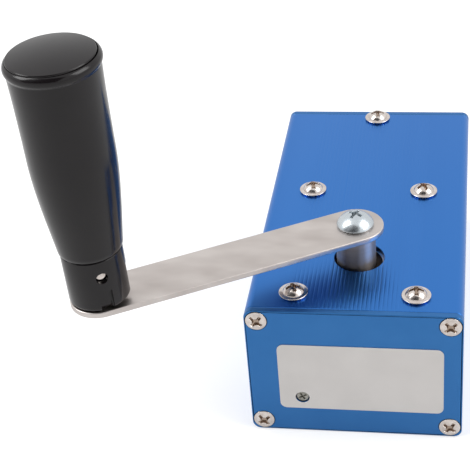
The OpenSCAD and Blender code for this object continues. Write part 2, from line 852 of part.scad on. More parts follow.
module motor_end_cap() {
    plug_h = plug_share * motor_wall;
    color(black_plastic) at_motor() difference() {
        union() {
            translate([0, 0, cap_bottom_z]) cylinder(d = motor_d, h = end_cap_h);
            translate([0, 0, motor_bottom_z]) difference() {
                cylinder(r = magnet_r, h = plug_h);
                translate([0, 0, -cut]) cylinder(r = magnet_r - magnet_t, h = plug_h + 2 * cut);
            }
            translate([-terminal_w / 2, -motor_d / 2 - motor_wall, cap_bottom_z])
                cube([terminal_w, terminal_l, end_cap_h]);
        }
        translate([0, 0, cap_bottom_z - cut])
            cylinder(d = motor_bush_d + 2 * seat_clear, h = end_cap_h + 2 * cut);
    }
}

// Two curved magnets inside the can, one to each side
module motor_magnets() {
    bottom = motor_bottom_z + plug_share * motor_wall;
    height = motor_top_z - motor_wall - bottom;
    keep = motor_d * magnet_part_share;
    color(dark_steel) at_motor() translate([0, 0, bottom]) difference() {
        cylinder(r = magnet_r, h = height);
        translate([0, 0, -cut]) cylinder(r = magnet_r - magnet_t, h = height + 2 * cut);
        for (side = [-1, 1]) translate([0, side * keep, height / 2])
            cube([motor_d, keep, height + 2 * cut], center = true);
    }
}

module motor_bushes() {
    color(bronze) at_motor()
    for (span = [[cap_bottom_z, end_cap_h], [motor_top_z - motor_wall, motor_wall + motor_boss_h]])
        translate([0, 0, span[0]]) difference() {
            cylinder(d = motor_bush_d, h = span[1]);
            translate([0, 0, -cut]) cylinder(r = motor_shaft_d / 2 + run_clear, h = span[1] + 2 * cut);
        }
}

// Two carbon brushes on the end cap, one to each side of the commutator
module motor_brushes() {
    inner = commutator_d / 2 + free_clear;
    color(dark_steel) at_motor()
    for (side = [-1, 1])
        translate([side * (inner + brush_l / 2), 0, motor_bottom_z + brush_h / 2])
            cube([brush_l, brush_w, brush_h], center = true);
}

module motor_screws() {
    color(nickel) at_motor()
    for (side = [-1, 1]) translate([side * motor_screw_pitch / 2, 0, deck_floor_z]) {
        difference() {
            cylinder(d = motor_head_d, h = motor_head_h);
            translate([0, 0, motor_head_h]) cross_recess(motor_head_d, motor_head_h / 2);
        }
        translate([0, 0, -motor_screw_grip]) cylinder(d = motor_screw_d, h = motor_screw_grip);
    }
}

module control_board() {
    color(board_green)
    translate([-board_half_w, board_front_y, board_z]) cube([2 * board_half_w, board_l, board_t]);
}

module capacitors() {
    side = capacitor_d / 2;
    color(dark_steel)
    for (i = [0:1])
        translate([board_half_w - capacitor_inset,
            board_front_y + (i + 1) * (capacitor_d + capacitor_gap) + side, board_top_z])
            rotate_extrude() {
                square([side - capacitor_edge_r, capacitor_h]);
                square([side, capacitor_h - capacitor_edge_r]);
                translate([side - capacitor_edge_r, capacitor_h - capacitor_edge_r]) circle(capacitor_edge_r);
            }
}

module inductor() {
    color(copper)
    translate([coil_inset - board_half_w, board_rear_y - connector_l - coil_ring_d,
        board_top_z + coil_wire_d / 2])
        rotate_extrude() translate([coil_ring_d / 2 - coil_wire_d / 4, 0]) circle(d = coil_wire_d);
}

module bridge_rectifier() {
    color(black_plastic)
    translate([-bridge_l / 2, board_front_y + capacitor_d + capacitor_gap, board_top_z])
        cube([bridge_l, bridge_w, bridge_h]);
}

// A flat power regulator with its metal tab lying on the board
module regulator() {
    color(black_plastic)
    translate([-chip_w / 2, board_front_y + capacitor_d + 2 * capacitor_gap + bridge_w, board_top_z]) {
        cube([chip_w, chip_l, chip_h]);
        translate([0, chip_l, 0]) cube([chip_w, tab_l, tab_t]);
    }
}

module lead_connectors() {
    color(label_grey)
    for (x = [motor_connector_x, output_connector_x])
        translate([x - connector_w / 2, board_rear_y - connector_l, board_top_z])
            cube([connector_w, connector_l, connector_h]);
}

module trimmer_body() {
    color(trimmer_blue)
    translate([trimmer_x, trimmer_front_y, board_top_z]) difference() {
        translate([-trimmer_w / 2, 0, 0]) cube([trimmer_w, trimmer_l, trimmer_h]);
        translate([0, -cut, trimmer_z - board_top_z]) rotate([-90, 0, 0])
            cylinder(d = trimmer_screw_d + 2 * run_clear, h = trimmer_screw_l + cut);
    }
}

module trimmer_screw() {
    length = 2 * trimmer_screw_l - run_clear;
    color(nickel)
    translate([trimmer_x, trimmer_front_y - trimmer_screw_l, trimmer_z]) rotate([-90, 0, 0]) difference() {
        cylinder(d = trimmer_screw_d, h = length);
        translate([-trimmer_screw_d, -trimmer_slot_w / 2, -cut])
            cube([2 * trimmer_screw_d, trimmer_slot_w, trimmer_slot_depth + cut]);
    }
}

module socket_board() {
    color(board_green) difference() {
        translate([-socket_board_half_w, socket_board_y, socket_board_z])
            cube([2 * socket_board_half_w, board_t, socket_board_top - socket_board_z]);
        for (side = [-1, 1]) translate([side * board_screw_x, socket_board_y - cut, board_screw_z])
            rotate([-90, 0, 0]) cylinder(d = board_screw_d + 2 * seat_clear, h = board_t + 2 * cut);
    }
}

// An angle under the case's top that carries the socket board
module socket_bracket() {
    color(stainless) difference() {
        union() {
            translate([-bracket_half_w, bracket_front_y, ceiling_z - bracket_t])
                cube([2 * bracket_half_w, bracket_reach, bracket_t]);
            translate([-bracket_half_w, bracket_front_y, ceiling_z - bracket_drop])
                cube([2 * bracket_half_w, bracket_t, bracket_drop]);
        }
        translate([0, bracket_screw_y, ceiling_z - bracket_t - cut])
            cylinder(d = gearbox_screw_d + 2 * seat_clear, h = bracket_t + 2 * cut);
        for (side = [-1, 1]) translate([side * board_screw_x, bracket_front_y - cut, board_screw_z])
            rotate([-90, 0, 0]) cylinder(d = board_screw_d + 2 * seat_clear, h = bracket_t + 2 * cut);
    }
}

module board_screws() {
    color(nickel)
    for (side = [-1, 1])
    translate([side * board_screw_x, socket_board_y, board_screw_z]) rotate([-90, 0, 0]) {
        difference() {
            translate([0, 0, -board_head_h]) cylinder(d = board_head_d, h = board_head_h);
            mirror([0, 0, 1]) translate([0, 0, board_head_h])
                cross_recess(board_head_d, board_head_h / 2);
        }
        cylinder(d = board_screw_d, h = board_screw_l);
    }
}

module usb_shell() {
    color(nickel)
    translate([-socket_x - usb_w / 2, rear_y - socket_l, socket_z - usb_h / 2]) difference() {
        cube([usb_w, socket_l, usb_h]);
        translate([shell_wall, tongue_back, shell_wall])
            cube([usb_w - 2 * shell_wall, socket_l - tongue_back + cut, usb_h - 2 * shell_wall]);
    }
}

module usb_insulator() {
    hollow_w = usb_w - 2 * shell_wall;
    hollow_h = usb_h - 2 * shell_wall;
    color(label_grey)
    translate([-socket_x, rear_y - socket_l + tongue_back, socket_z]) {
        translate([-hollow_w / 2, 0, -hollow_h / 2]) cube([hollow_w, tongue_seat_l, hollow_h]);
        translate([-tongue_w / 2, tongue_seat_l, hollow_h / 2 - tongue_t - shell_wall])
            cube([tongue_w, socket_l - tongue_back - tongue_seat_l - tongue_setback, tongue_t]);
    }
}

// A round power socket: a block on the board, a barrel through the plate and a centre pin
module dc_socket() {
    block_l = socket_l - plate_t - free_clear;
    color(black_plastic)
    translate([socket_x, rear_y - socket_l, socket_z]) {
        difference() {
            union() {
                translate([-barrel_block / 2, 0, -barrel_block / 2])
                    cube([barrel_block, block_l, barrel_block]);
                rotate([-90, 0, 0]) cylinder(d = barrel_d, h = socket_l);
            }
            translate([0, socket_l - barrel_depth, 0]) rotate([-90, 0, 0])
                cylinder(d = barrel_bore_d, h = barrel_depth + cut);
        }
        translate([0, socket_l - barrel_depth, 0]) rotate([-90, 0, 0])
            cylinder(d = centre_pin_d, h = barrel_depth - tongue_setback);
    }
}

// A lead from one [y, z] point to another, with a rounded far end
module lead_run(a, b) {
    step = b - a;
    translate([0, a[0], a[1]]) rotate([atan2(step[1], step[0]) - 90, 0, 0])
        cylinder(d = lead_d, h = norm(step));
    translate([0, b[0], b[1]]) sphere(d = lead_d);
}

// Two leads from the board's connector to the motor's terminals
module motor_leads() {
    terminal_y = motor_y - motor_d / 2 - motor_wall;
    terminal_z = cap_bottom_z + end_cap_h / 2;
    bends = [[board_rear_y + lead_straight, lead_z], [terminal_y - lead_straight, terminal_z]];
    color(lead_red)
    for (side = [-1, 1]) translate([motor_connector_x + side * lead_pitch / 2, 0, 0]) {
        lead_run([board_rear_y, lead_z], bends[0]);
        lead_run(bends[0], bends[1]);
        translate([0, bends[1][0], terminal_z]) rotate([-90, 0, 0]) cylinder(d = lead_d, h = lead_straight);
    }
}

module output_leads() {
    color(lead_red)
    for (side = [-1, 1])
        translate([output_connector_x + side * lead_pitch / 4, board_rear_y, lead_z + side * lead_d / 2])
            rotate([-90, 0, 0]) cylinder(d = lead_d, h = socket_board_y - board_rear_y);
}

// The shaft steps up from its lower journal to the gear's seat, the visible part and a flatted tenon
module drive_shaft() {
    tenon_h = arm_t - tenon_drop;
    shoulder_z = main_gear_z + main_gear_t;
    color(stainless) on_crank() difference() {
        union() {
            translate([0, 0, shaft_bottom_z]) cylinder(d = journal_d, h = shaft_step_z - shaft_bottom_z);
            translate([0, 0, shaft_step_z]) cylinder(d = gear_seat_d, h = shoulder_z - shaft_step_z);
            translate([0, 0, shoulder_z]) cylinder(d = shaft_d, h = arm_z - shoulder_z);
            translate([0, 0, arm_z]) linear_extrude(height = tenon_h) tenon_outline(0);
        }
        translate([0, 0, arm_z + tenon_h - crank_thread_l])
            cylinder(d = crank_screw_d + 2 * seat_clear, h = crank_thread_l + cut);
        translate([0, 0, clip_z - seat_clear]) difference() {
            cylinder(d = journal_d + cut, h = clip_t + 2 * seat_clear);
            translate([0, 0, -cut])
                cylinder(d = journal_d - 2 * clip_groove_depth, h = clip_t + 2 * seat_clear + 2 * cut);
        }
    }
}

module tenon_outline(gap) {
    intersection() {
        circle(d = tenon_d + 2 * gap);
        square([tenon_flat + 2 * gap, tenon_d + 2 * gap + cut], center = true);
    }
}

module main_gear() {
    hub_d = gear_seat_d + 2 * bush_wall + collar_wall;
    hub_z = shaft_step_z + level_gap;
    hole_count = 6;
    rim = main_teeth * mod_1 / 2 - mod_1 * dedendum_share;
    hole_ring = (rim + hub_d / 2) / 2;
    hole_d = (rim - hub_d / 2) * gear_hole_share;
    color(dark_steel) at_crank() difference() {
        union() {
            translate([0, 0, main_gear_z]) driving_gear(main_teeth, mod_1, main_gear_t);
            translate([0, 0, hub_z]) cylinder(d = hub_d, h = main_gear_z - hub_z);
        }
        translate([0, 0, hub_z - cut])
            cylinder(d = gear_seat_d + 2 * seat_clear, h = main_gear_z + main_gear_t - hub_z + 2 * cut);
        for (i = [0:hole_count - 1]) rotate(360 * (i + 0.5) / hole_count)
            translate([hole_ring, 0, main_gear_z - cut]) cylinder(d = hole_d, h = main_gear_t + 2 * cut);
    }
}

module shaft_clip() {
    ring_d = journal_d + clip_ear;
    color(dark_steel) on_crank() translate([0, 0, clip_z]) difference() {
        cylinder(d = ring_d, h = clip_t);
        translate([0, 0, -cut])
            cylinder(d = journal_d - 2 * clip_groove_depth + 2 * seat_clear, h = clip_t + 2 * cut);
        translate([0, -clip_ear, -cut]) cube([ring_d, 2 * clip_ear, clip_t + 2 * cut]);
    }
}

module crank_arm() {
    color(stainless) on_crank() translate([0, 0, arm_z]) difference() {
        union() {
            translate([0, -arm_w / 2, 0]) cube([crank_r, arm_w, arm_t]);
            cylinder(d = arm_w, h = arm_t);
            translate([crank_r, 0, 0]) cylinder(d = arm_w, h = arm_t);
        }
        translate([0, 0, -cut]) linear_extrude(height = arm_t + 2 * cut) tenon_outline(seat_clear);
        translate([crank_r, 0, -cut]) cylinder(d = rivet_d + 2 * seat_clear, h = arm_t + 2 * cut);
    }
}

module crank_screw() {
    rim_h = crank_head_h * crank_rim_share;
    color(zinc) on_crank() translate([0, 0, arm_top_z]) {
        difference() {
            union() {
                cylinder(d = crank_head_d, h = rim_h);
                translate([0, 0, rim_h]) rotate_extrude() cap_outline(crank_head_d / 2, crank_head_h - rim_h);
            }
            translate([0, 0, crank_head_h])
                cross_recess(crank_head_d, crank_head_h / 2);
        }
        translate([0, 0, tenon_drop - crank_thread_l])
            cylinder(d = crank_screw_d, h = crank_thread_l - tenon_drop);
    }
}

// The blade that carries the hinge pin, riveted through the arm
module handle_foot() {
    pin_bore = pin_d + 2 * run_clear;
    color(stainless) on_crank() translate([crank_r, 0, 0]) {
        difference() {
            union() {
                translate([-foot_w / 2, -foot_t / 2, arm_top_z]) cube([foot_w, foot_t, pin_h]);
                translate([0, foot_t / 2, hinge_z]) rotate([90, 0, 0]) cylinder(d = foot_w, h = foot_t);
            }
            translate([0, foot_t / 2 + cut, hinge_z]) rotate([90, 0, 0])
                cylinder(d = pin_bore, h = foot_t + 2 * cut);
        }
        translate([0, 0, arm_z]) cylinder(d = rivet_d, h = arm_t);
        translate([0, 0, arm_z]) rotate([180, 0, 0])
            rotate_extrude() cap_outline(rivet_head_d / 2, rivet_head_h);
    }
}

// A wheel below and a pinion above on one hub, between two collars
module first_compound_gear() {
    collar_d = axle_d + 2 * collar_wall;
    top = upper_plate_z - end_float;
    bottom = deck_floor_z + end_float;
    color(brass) translate([crank_x, axis_2_y, 0]) difference() {
        union() {
            translate([0, 0, low_level_z]) driving_gear(wheel_2_teeth, mod_2, wheel_2_t);
            translate([0, 0, pinion_2_z]) driven_gear(pinion_teeth, mod_1, pinion_2_t);
            translate([0, 0, bottom]) cylinder(d = collar_d, h = low_level_z - bottom);
            translate([0, 0, pinion_2_z + pinion_2_t])
                cylinder(d = collar_d, h = top - pinion_2_z - pinion_2_t);
        }
        translate([0, 0, bottom - cut]) cylinder(r = axle_d / 2 + run_clear, h = top - bottom + 2 * cut);
    }
}

// A pinion below and a wheel above on one hub
module second_compound_gear() {
    collar_d = axle_d + 2 * mod_2;
    top = upper_plate_z - end_float;
    bottom = deck_floor_z + end_float;
    wheel_top = main_gear_z + wheel_3_t;
    color(brass) translate([crank_x, axis_3_y, 0]) difference() {
        union() {
            translate([0, 0, pinion_3_z]) driven_gear(pinion_teeth, mod_2, pinion_3_t);
            translate([0, 0, main_gear_z]) driving_gear(wheel_3_teeth, mod_3, wheel_3_t);
            translate([0, 0, bottom]) cylinder(d = collar_d, h = pinion_3_z - bottom);
            translate([0, 0, wheel_top]) cylinder(d = collar_d, h = top - wheel_top);
        }
        translate([0, 0, bottom - cut]) cylinder(r = axle_d / 2 + run_clear, h = top - bottom + 2 * cut);
    }
}

module motor_pinion() {
    color(brass) at_motor() translate([0, 0, motor_pinion_z]) difference() {
        driven_gear(pinion_teeth, mod_3, motor_pinion_t);
        translate([0, 0, -cut]) cylinder(r = motor_shaft_d / 2 + seat_clear, h = motor_pinion_t + 2 * cut);
    }
}

module motor_shaft() {
    bottom = cap_bottom_z + end_float;
    color(nickel) at_motor() translate([0, 0, bottom])
        cylinder(d = motor_shaft_d, h = motor_pinion_z + motor_pinion_t - bottom);
}

// A laminated core with slots all round for the winding
module motor_armature() {
    slot_depth = armature_r * armature_slot_depth_share;
    color(copper) at_motor() translate([0, 0, armature_z]) difference() {
        cylinder(r = armature_r, h = armature_h);
        translate([0, 0, -cut]) cylinder(r = motor_shaft_d / 2 + seat_clear, h = armature_h + 2 * cut);
        for (i = [0:armature_slots - 1]) rotate(360 * i / armature_slots)
            translate([armature_r - slot_depth, -armature_slot_w / 2, -cut])
                cube([slot_depth + cut, armature_slot_w, armature_h + 2 * cut]);
    }
}

module commutator() {
    color(copper) at_motor() translate([0, 0, commutator_z]) difference() {
        cylinder(d = commutator_d, h = commutator_h);
        translate([0, 0, -cut]) cylinder(r = motor_shaft_d / 2 + seat_clear, h = commutator_h + 2 * cut);
    }
}

// A fork that straddles the foot's blade, with a rod up through the sleeve
module handle_rod() {
    low = pin_h - foot_w / 2 - eye_clear;
    color(stainless) on_handle() difference() {
        union() {
            translate([0, 0, low]) cylinder(d = fork_d, h = fork_top - low);
            translate([0, 0, fork_top]) cylinder(d = rod_d, h = nut_z + nut_h - fork_top);
        }
        translate([-fork_d / 2 - cut, -fork_gap / 2, low - cut])
            cube([fork_d + 2 * cut, fork_gap, fork_top - fork_bridge - low + cut]);
        translate([0, fork_d / 2 + cut, pin_h]) rotate([90, 0, 0])
            cylinder(d = pin_d + 2 * seat_clear, h = fork_d + 2 * cut);
    }
}

module rod_nut() {
    color(zinc) on_handle() translate([0, 0, nut_z]) difference() {
        cylinder(d = nut_d, h = nut_h);
        translate([0, 0, -cut]) cylinder(d = rod_d + 2 * seat_clear, h = nut_h + 2 * cut);
    }
}

module hinge_pin() {
    length = fork_d - fork_clear;
    color(nickel) on_handle() translate([0, length / 2, pin_h]) rotate([90, 0, 0])
        cylinder(d = pin_d, h = length);
}

// Height, below the hinge pin, and reach towards the crank shaft of the sleeve's edge
// where it just clears the arm when the handle stands at angle a from upright
function clear_edge(a) =
    let (lift = lift_per_radian * (a + handle_lean) * PI / 180,
        s = pin_h - free_clear + lift * cos(a),
        slope = lift_per_radian * cos(a) - lift * sin(a))
    [s * sin(a) + slope * cos(a), s * cos(a) - slope * sin(a)];

// The sleeve stands on the arm; a slot towards the shaft lets the foot's blade through as it folds
module lock_sleeve() {
    bottom = sleeve_gap;
    slot_w = foot_t + 2 * slot_clear;
    slot_top = pin_h - lock_lift + foot_w / 2 + slot_clear;
    edge_steps = 10;
    foot_steps = 4;
    edge = [for (i = [0:edge_steps]) clear_edge(i * 60 / edge_steps)];
    last = edge[edge_steps];
    color(black_plastic) on_handle() difference() {
        rotate_extrude() polygon(concat([[0, bottom]],
            [for (i = [0:foot_steps])
                [sleeve_d / 2 - sleeve_foot_r, bottom + sleeve_foot_r]
                    + sleeve_foot_r * [sin(i * 90 / foot_steps), -cos(i * 90 / foot_steps)]],
            [[sleeve_d / 2, sleeve_top - sleeve_edge_r], [sleeve_d / 2 - sleeve_edge_r, sleeve_top],
            [neck_d / 2, sleeve_top], [neck_d / 2, neck_top], [0, neck_top]]));
        translate([0, 0, bottom - cut]) cylinder(d = sleeve_bore_d, h = sleeve_cavity_top - bottom + cut);
        translate([0, 0, sleeve_cavity_top - cut])
            cylinder(d = rod_d + 2 * fork_clear, h = shoulder_t + 2 * cut);
        translate([0, 0, sleeve_cavity_top + shoulder_t])
            cylinder(d = spindle_d + 2 * seat_clear, h = tube_seat + cut);
        translate([-sleeve_d / 2 - cut, -slot_w / 2, bottom - cut])
            cube([sleeve_d / 2 + cut, slot_w, slot_top - bottom + cut]);
        translate([0, sleeve_d / 2 + cut, pin_h]) rotate([90, 0, 0])
            cylinder(d = pin_d + 2 * pin_hole_clear, h = sleeve_d + 2 * cut);
        translate([0, sleeve_d, pin_h]) rotate([90, 0, 0]) linear_extrude(height = 2 * sleeve_d)
            polygon(concat([for (p = edge) [-p[0], -p[1]]],
                [[-last[0] - sleeve_d, -last[1]], [-last[0] - sleeve_d, -pin_h - sleeve_d],
                [-edge[0][0], -pin_h - sleeve_d]]));
        sleeve_marks(bottom);
    }
}

// A shallow notch in the sleeve's lower edge below the pin, with a fine slit at one end
module sleeve_marks(bottom) {
    slit_x = -sleeve_d / 2 * sin(slit_turn);
    translate([slit_x, sleeve_d / 2 * cos(slit_turn) - slit_depth, bottom - cut])
        cube([notch_w, 2 * slit_depth, notch_h + cut]);
    translate([slit_x, sleeve_d / 2 * cos(slit_turn) - slit_depth, bottom - cut])
        cube([slit_w, 2 * slit_depth, slit_h + cut]);
}

module spindle_tube() {
    bottom = sleeve_cavity_top + shoulder_t;
    color(zinc) on_handle() translate([0, 0, bottom]) difference() {
        cylinder(d = spindle_d, h = tube_top - bottom);
        translate([0, 0, -cut]) cylinder(d = spindle_bore_d, h = tube_top - bottom + 2 * cut);
    }
}

module grip_washer() {
    color(zinc) on_handle() translate([0, 0, tube_top]) difference() {
        cylinder(d = washer_d, h = washer_t);
        translate([0, 0, -cut]) cylinder(d = spindle_bore_d, h = washer_t + 2 * cut);
    }
}

module grip_screw() {
    color(zinc) on_handle() translate([0, 0, tube_top + washer_t]) {
        difference() {
            cylinder(d = grip_screw_head_d, h = grip_screw_head_h);
            translate([0, 0, grip_screw_head_h])
                cross_recess(grip_screw_head_d, grip_screw_head_h / 2);
        }
        translate([0, 0, -grip_screw_l]) cylinder(d = spindle_bore_d - 2 * seat_clear, h = grip_screw_l);
    }
}

// Closed outer shape of the spring between the sleeve's shoulder and the rod's nut
module lock_spring() {
    outer = spindle_bore_d / 2 - fork_clear;
    color(dark_steel) on_handle() translate([0, 0, spring_bottom]) difference() {
        cylinder(r = outer, h = spring_rest_l);
        translate([0, 0, -cut]) cylinder(r = outer - spring_wire, h = spring_rest_l + 2 * cut);
    }
}

// Point on the cubic curve through a and d with handles b and c
function curve(a, b, c, d, t) =
    a * pow(1 - t, 3) + 3 * b * t * pow(1 - t, 2) + 3 * c * t * t * (1 - t) + d * pow(t, 3);

// Heights of the grip's stations, as shares of its length
belly_height_share = 0.52;
neck_height_share = 0.82;
// How fast the side widens above its foot and below its neck, as shares of the height of a handle
foot_widen_share = 0.12;
neck_widen_share = 0.02;
// Angle below the horizontal at which the rim's round starts
rim_start_angle = -45;

// Half outline of the grip, up its side and over its rounded rim
function grip_side() =
    let (length = grip_top - grip_bottom,
        chamfer = (grip_foot_d - grip_edge_d) / 2,
        foot = [grip_foot_d / 2, grip_bottom + 2 * chamfer],
        belly = [grip_belly_d / 2, grip_bottom + length * belly_height_share],
        neck = [grip_neck_d / 2, grip_bottom + length * neck_height_share],
        rim = [grip_rim_d / 2 - grip_rim_r, grip_top - grip_rim_r],
        lower = (belly[1] - foot[1]) / 3,
        upper = (neck[1] - belly[1]) / 3,
        steps = 8)
    concat([[grip_edge_d / 2, grip_bottom]],
        [for (i = [0:steps])
            curve(foot, foot + [lower * foot_widen_share, lower], belly - [0, lower], belly, i / steps)],
        [for (i = [1:steps / 2])
            curve(belly, belly + [0, upper], neck - [upper * neck_widen_share, upper], neck, i * 2 / steps)],
        [for (i = [0:steps])
            let (turn = rim_start_angle + i * (90 - rim_start_angle) / steps)
            rim + grip_rim_r * [cos(turn), sin(turn)]]);

module grip() {
    side = grip_side();
    cap_seat_z = grip_top - cap_seat_depth;
    color(black_plastic) on_handle() difference() {
        rotate_extrude() polygon(concat([[0, grip_bottom]], side, [[0, grip_top]]));
        translate([0, 0, grip_bottom - cut])
            cylinder(r = spindle_d / 2 + run_clear, h = grip_top - grip_bottom);
        translate([0, 0, grip_bottom - cut])
            cylinder(d = neck_d + 2 * fork_clear, h = neck_top + seam - grip_bottom + cut);
        translate([0, 0, grip_floor]) cylinder(d = recess_d, h = grip_top - grip_floor + cut);
        translate([0, 0, cap_seat_z]) cylinder(d = cap_d + 2 * cap_groove, h = cap_seat_depth + cut);
    }
}

module grip_cap() {
    cap_seat_z = grip_top - cap_seat_depth;
    flange_h = cap_seat_depth + cap_edge_rise;
    skirt_d = recess_d - 2 * seat_clear;
    skirt_wall = channel_wall;
    skirt_h = cap_skirt / 2;
    color(black_plastic) on_handle() translate([0, 0, cap_seat_z]) {
        cylinder(d = cap_d, h = flange_h);
        translate([0, 0, flange_h]) rotate_extrude() cap_outline(cap_d / 2, cap_crown - cap_edge_rise);
        translate([0, 0, -skirt_h]) difference() {
            cylinder(d = skirt_d, h = skirt_h);
            translate([0, 0, -cut]) cylinder(d = skirt_d - 2 * skirt_wall, h = skirt_h + cut);
        }
    }
}

case_extrusion();
front_plate();
rear_plate();
front_plate_screws();
rear_plate_screws();
label();
gearbox_screws();
bracket_screw();
upper_gear_plate();
lower_gear_plate();
plate_posts();
post_screws();
upper_shaft_bush();
lower_shaft_bush();
gear_axles();
motor_can();
motor_end_cap();
motor_magnets();
motor_bushes();
motor_brushes();
motor_screws();
control_board();
capacitors();
inductor();
bridge_rectifier();
regulator();
lead_connectors();
trimmer_body();
trimmer_screw();
socket_board();
socket_bracket();
board_screws();
usb_shell();
usb_insulator();
dc_socket();
motor_leads();
output_leads();
drive_shaft();
main_gear();
shaft_clip();
crank_arm();
crank_screw();
handle_foot();
first_compound_gear();
second_compound_gear();
motor_pinion();
motor_shaft();
motor_armature();
commutator();
handle_rod();
rod_nut();
hinge_pin();
lock_sleeve();
spindle_tube();
grip_washer();
grip_screw();
lock_spring();
grip();
grip_cap();
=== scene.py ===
# Hand crank generator: new surfaces, finishes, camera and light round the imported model.
import bmesh
import bpy
import numpy as np
from mathutils import Matrix, Vector
from mathutils.geometry import delaunay_2d_cdt


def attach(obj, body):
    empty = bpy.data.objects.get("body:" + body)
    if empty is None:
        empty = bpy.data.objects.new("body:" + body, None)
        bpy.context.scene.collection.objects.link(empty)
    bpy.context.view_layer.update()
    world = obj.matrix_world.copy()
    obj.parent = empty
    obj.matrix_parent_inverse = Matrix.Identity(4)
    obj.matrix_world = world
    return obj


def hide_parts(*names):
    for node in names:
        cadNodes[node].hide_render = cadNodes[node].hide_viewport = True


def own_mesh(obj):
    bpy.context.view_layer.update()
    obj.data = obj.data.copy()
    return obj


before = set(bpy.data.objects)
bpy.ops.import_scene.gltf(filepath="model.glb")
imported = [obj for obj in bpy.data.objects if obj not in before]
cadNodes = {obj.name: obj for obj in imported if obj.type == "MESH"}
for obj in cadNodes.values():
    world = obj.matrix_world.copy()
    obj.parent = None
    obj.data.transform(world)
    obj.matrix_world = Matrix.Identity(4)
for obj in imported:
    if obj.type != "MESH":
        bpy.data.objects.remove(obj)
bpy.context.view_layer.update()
print("frame loaded,", len(cadNodes), "nodes")


# Materials: shared steps
def hexColour(code, alpha=1.0):
    # An sRGB hex code turned to the linear colour that shaders work in.
    steps = np.array([int(code[i:i + 2], 16) for i in (1, 3, 5)]) / 255
    linear = np.where(steps <= 0.04045, steps / 12.92, ((steps + 0.055) / 1.055) ** 2.4)
    return (*[float(x) for x in linear], alpha)


def addNode(tree, kind, inputs=None, **settings):
    # Adds one node, sets what is named, and links or fills its sockets.
    made = tree.nodes.new("ShaderNode" + kind)
    for name, value in settings.items():
        setattr(made, name, value)
    for key, value in (inputs or {}).items():
        if isinstance(value, bpy.types.NodeSocket):
            tree.links.new(value, made.inputs[key])
        else:
            made.inputs[key].default_value = value
    return made


def newTree(name):
    # A bare material with its output, ready for its shader.
    material = bpy.data.materials.new(name)
    material.use_nodes = True
    material.node_tree.nodes.clear()
    return material, material.node_tree


def place(tree, turn=(0, 0, 0), stretch=(1, 1, 1)):
    # Object coordinates in metres, turned and stretched for a pattern.
    where = addNode(tree, "TexCoord").outputs["Object"]
    return addNode(tree, "Mapping", {"Vector": where, "Rotation": turn, "Scale": stretch}).outputs[0]


def cloud(tree, vector, sizeMm, detail=2.0, low=0.0, high=1.0, spread=(0.3, 0.7)):
    # Noise whose patches are about sizeMm across, between low and high.
    noise = addNode(tree, "TexNoise", {"Vector": vector, "Scale": 1000 / sizeMm, "Detail": detail})
    return addNode(tree, "MapRange", {
        "Value": noise.outputs[0], "From Min": spread[0], "From Max": spread[1],
        "To Min": low, "To Max": high}).outputs[0]


def blendColour(tree, share, first, second):
    return addNode(tree, "Mix", {0: share, 6: first, 7: second}, data_type="RGBA").outputs[2]


def surface(name, look):
    # The common finish: two close colours in patches, uneven gloss and a fine grain, and, where asked, a
    # painted shade down in recesses.
    material, tree = newTree(name)
    spot = place(tree, look.get("turn", (0, 0, 0)), look.get("stretch", (1, 1, 1)))
    patches = cloud(tree, spot, look["patchMm"])
    colour = blendColour(tree, patches, hexColour(look["colour"]), hexColour(look["shade"]))
    gloss = cloud(tree, spot, look["glossMm"], 3.0, *look["roughness"])
    # Where the pressed attribute marks a recess, the colour turns to a darker painted shade.
    if "recessShadeColour" in look:
        pressed = addNode(tree, "Attribute", attribute_name="pressed").outputs["Fac"]
        colour = blendColour(tree, pressed, colour, hexColour(look["recessShadeColour"]))
    grain = addNode(tree, "TexNoise", {"Vector": spot, "Scale": 1000 / look["grainMm"], "Detail": 2.0})
    bump = addNode(tree, "Bump", {
        "Height": grain.outputs[0], "Strength": 1.0, "Distance": look["reliefMm"] / 1000})
    shader = addNode(tree, "BsdfPrincipled", {
        "Base Color": colour, "Roughness": gloss, "Normal": bump.outputs[0],
        "Metallic": look["metallic"], **look.get("sockets", {})})
    if "Anisotropic" in look.get("sockets", {}):
        rings = addNode(tree, "Tangent", direction_type="RADIAL", axis="Z")
        tree.links.new(rings.outputs[0], shader.inputs["Tangent"])
    addNode(tree, "OutputMaterial", {"Surface": shader.outputs[0]})
    return material


def dress(material, *names):
    for name in names:
        mesh = cadNodes[name].data
        mesh.materials.clear()
        mesh.materials.append(material)


# Shapes: shared steps, all in millimetres until meshObject
def gridFaces(rows, columns, ringed=False):
    # Quads of a grid whose columns close into rings; ringed also joins the last row to the first.
    row = np.arange(rows if ringed else rows - 1)[:, None]
    column = np.arange(columns)[None, :]
    below, beside = (row + 1) % rows, (column + 1) % columns
    corners = np.broadcast_arrays(row * columns + column, row * columns + beside,
                                  below * columns + beside, below * columns + column)
    return np.stack(corners, -1).reshape(-1, 4)


def turned(profile, sides, ringed=False):
    # Turned shape: each (radius, height) of the profile goes once round Z.
    profile = np.asarray(profile, float)
    angle = np.linspace(0, 2 * np.pi, sides, endpoint=False)
    rings = np.stack([profile[:, :1] * np.cos(angle), profile[:, :1] * np.sin(angle),
                      np.repeat(profile[:, 1:], sides, 1)], -1)
    return rings.reshape(-1, 3), gridFaces(len(profile), sides, ringed)


def arc(centre, radius, fromDeg, toDeg, steps):
    # Points on a circle: centre plus radius times the cosine and sine of each angle.
    turn = np.radians(np.linspace(fromDeg, toDeg, steps + 1))
    return np.asarray(centre) + radius * np.stack([np.cos(turn), np.sin(turn)], -1)


def circleLoop(centre, radius, steps=64):
    return arc(centre, radius, 0, 360, steps)[:-1]


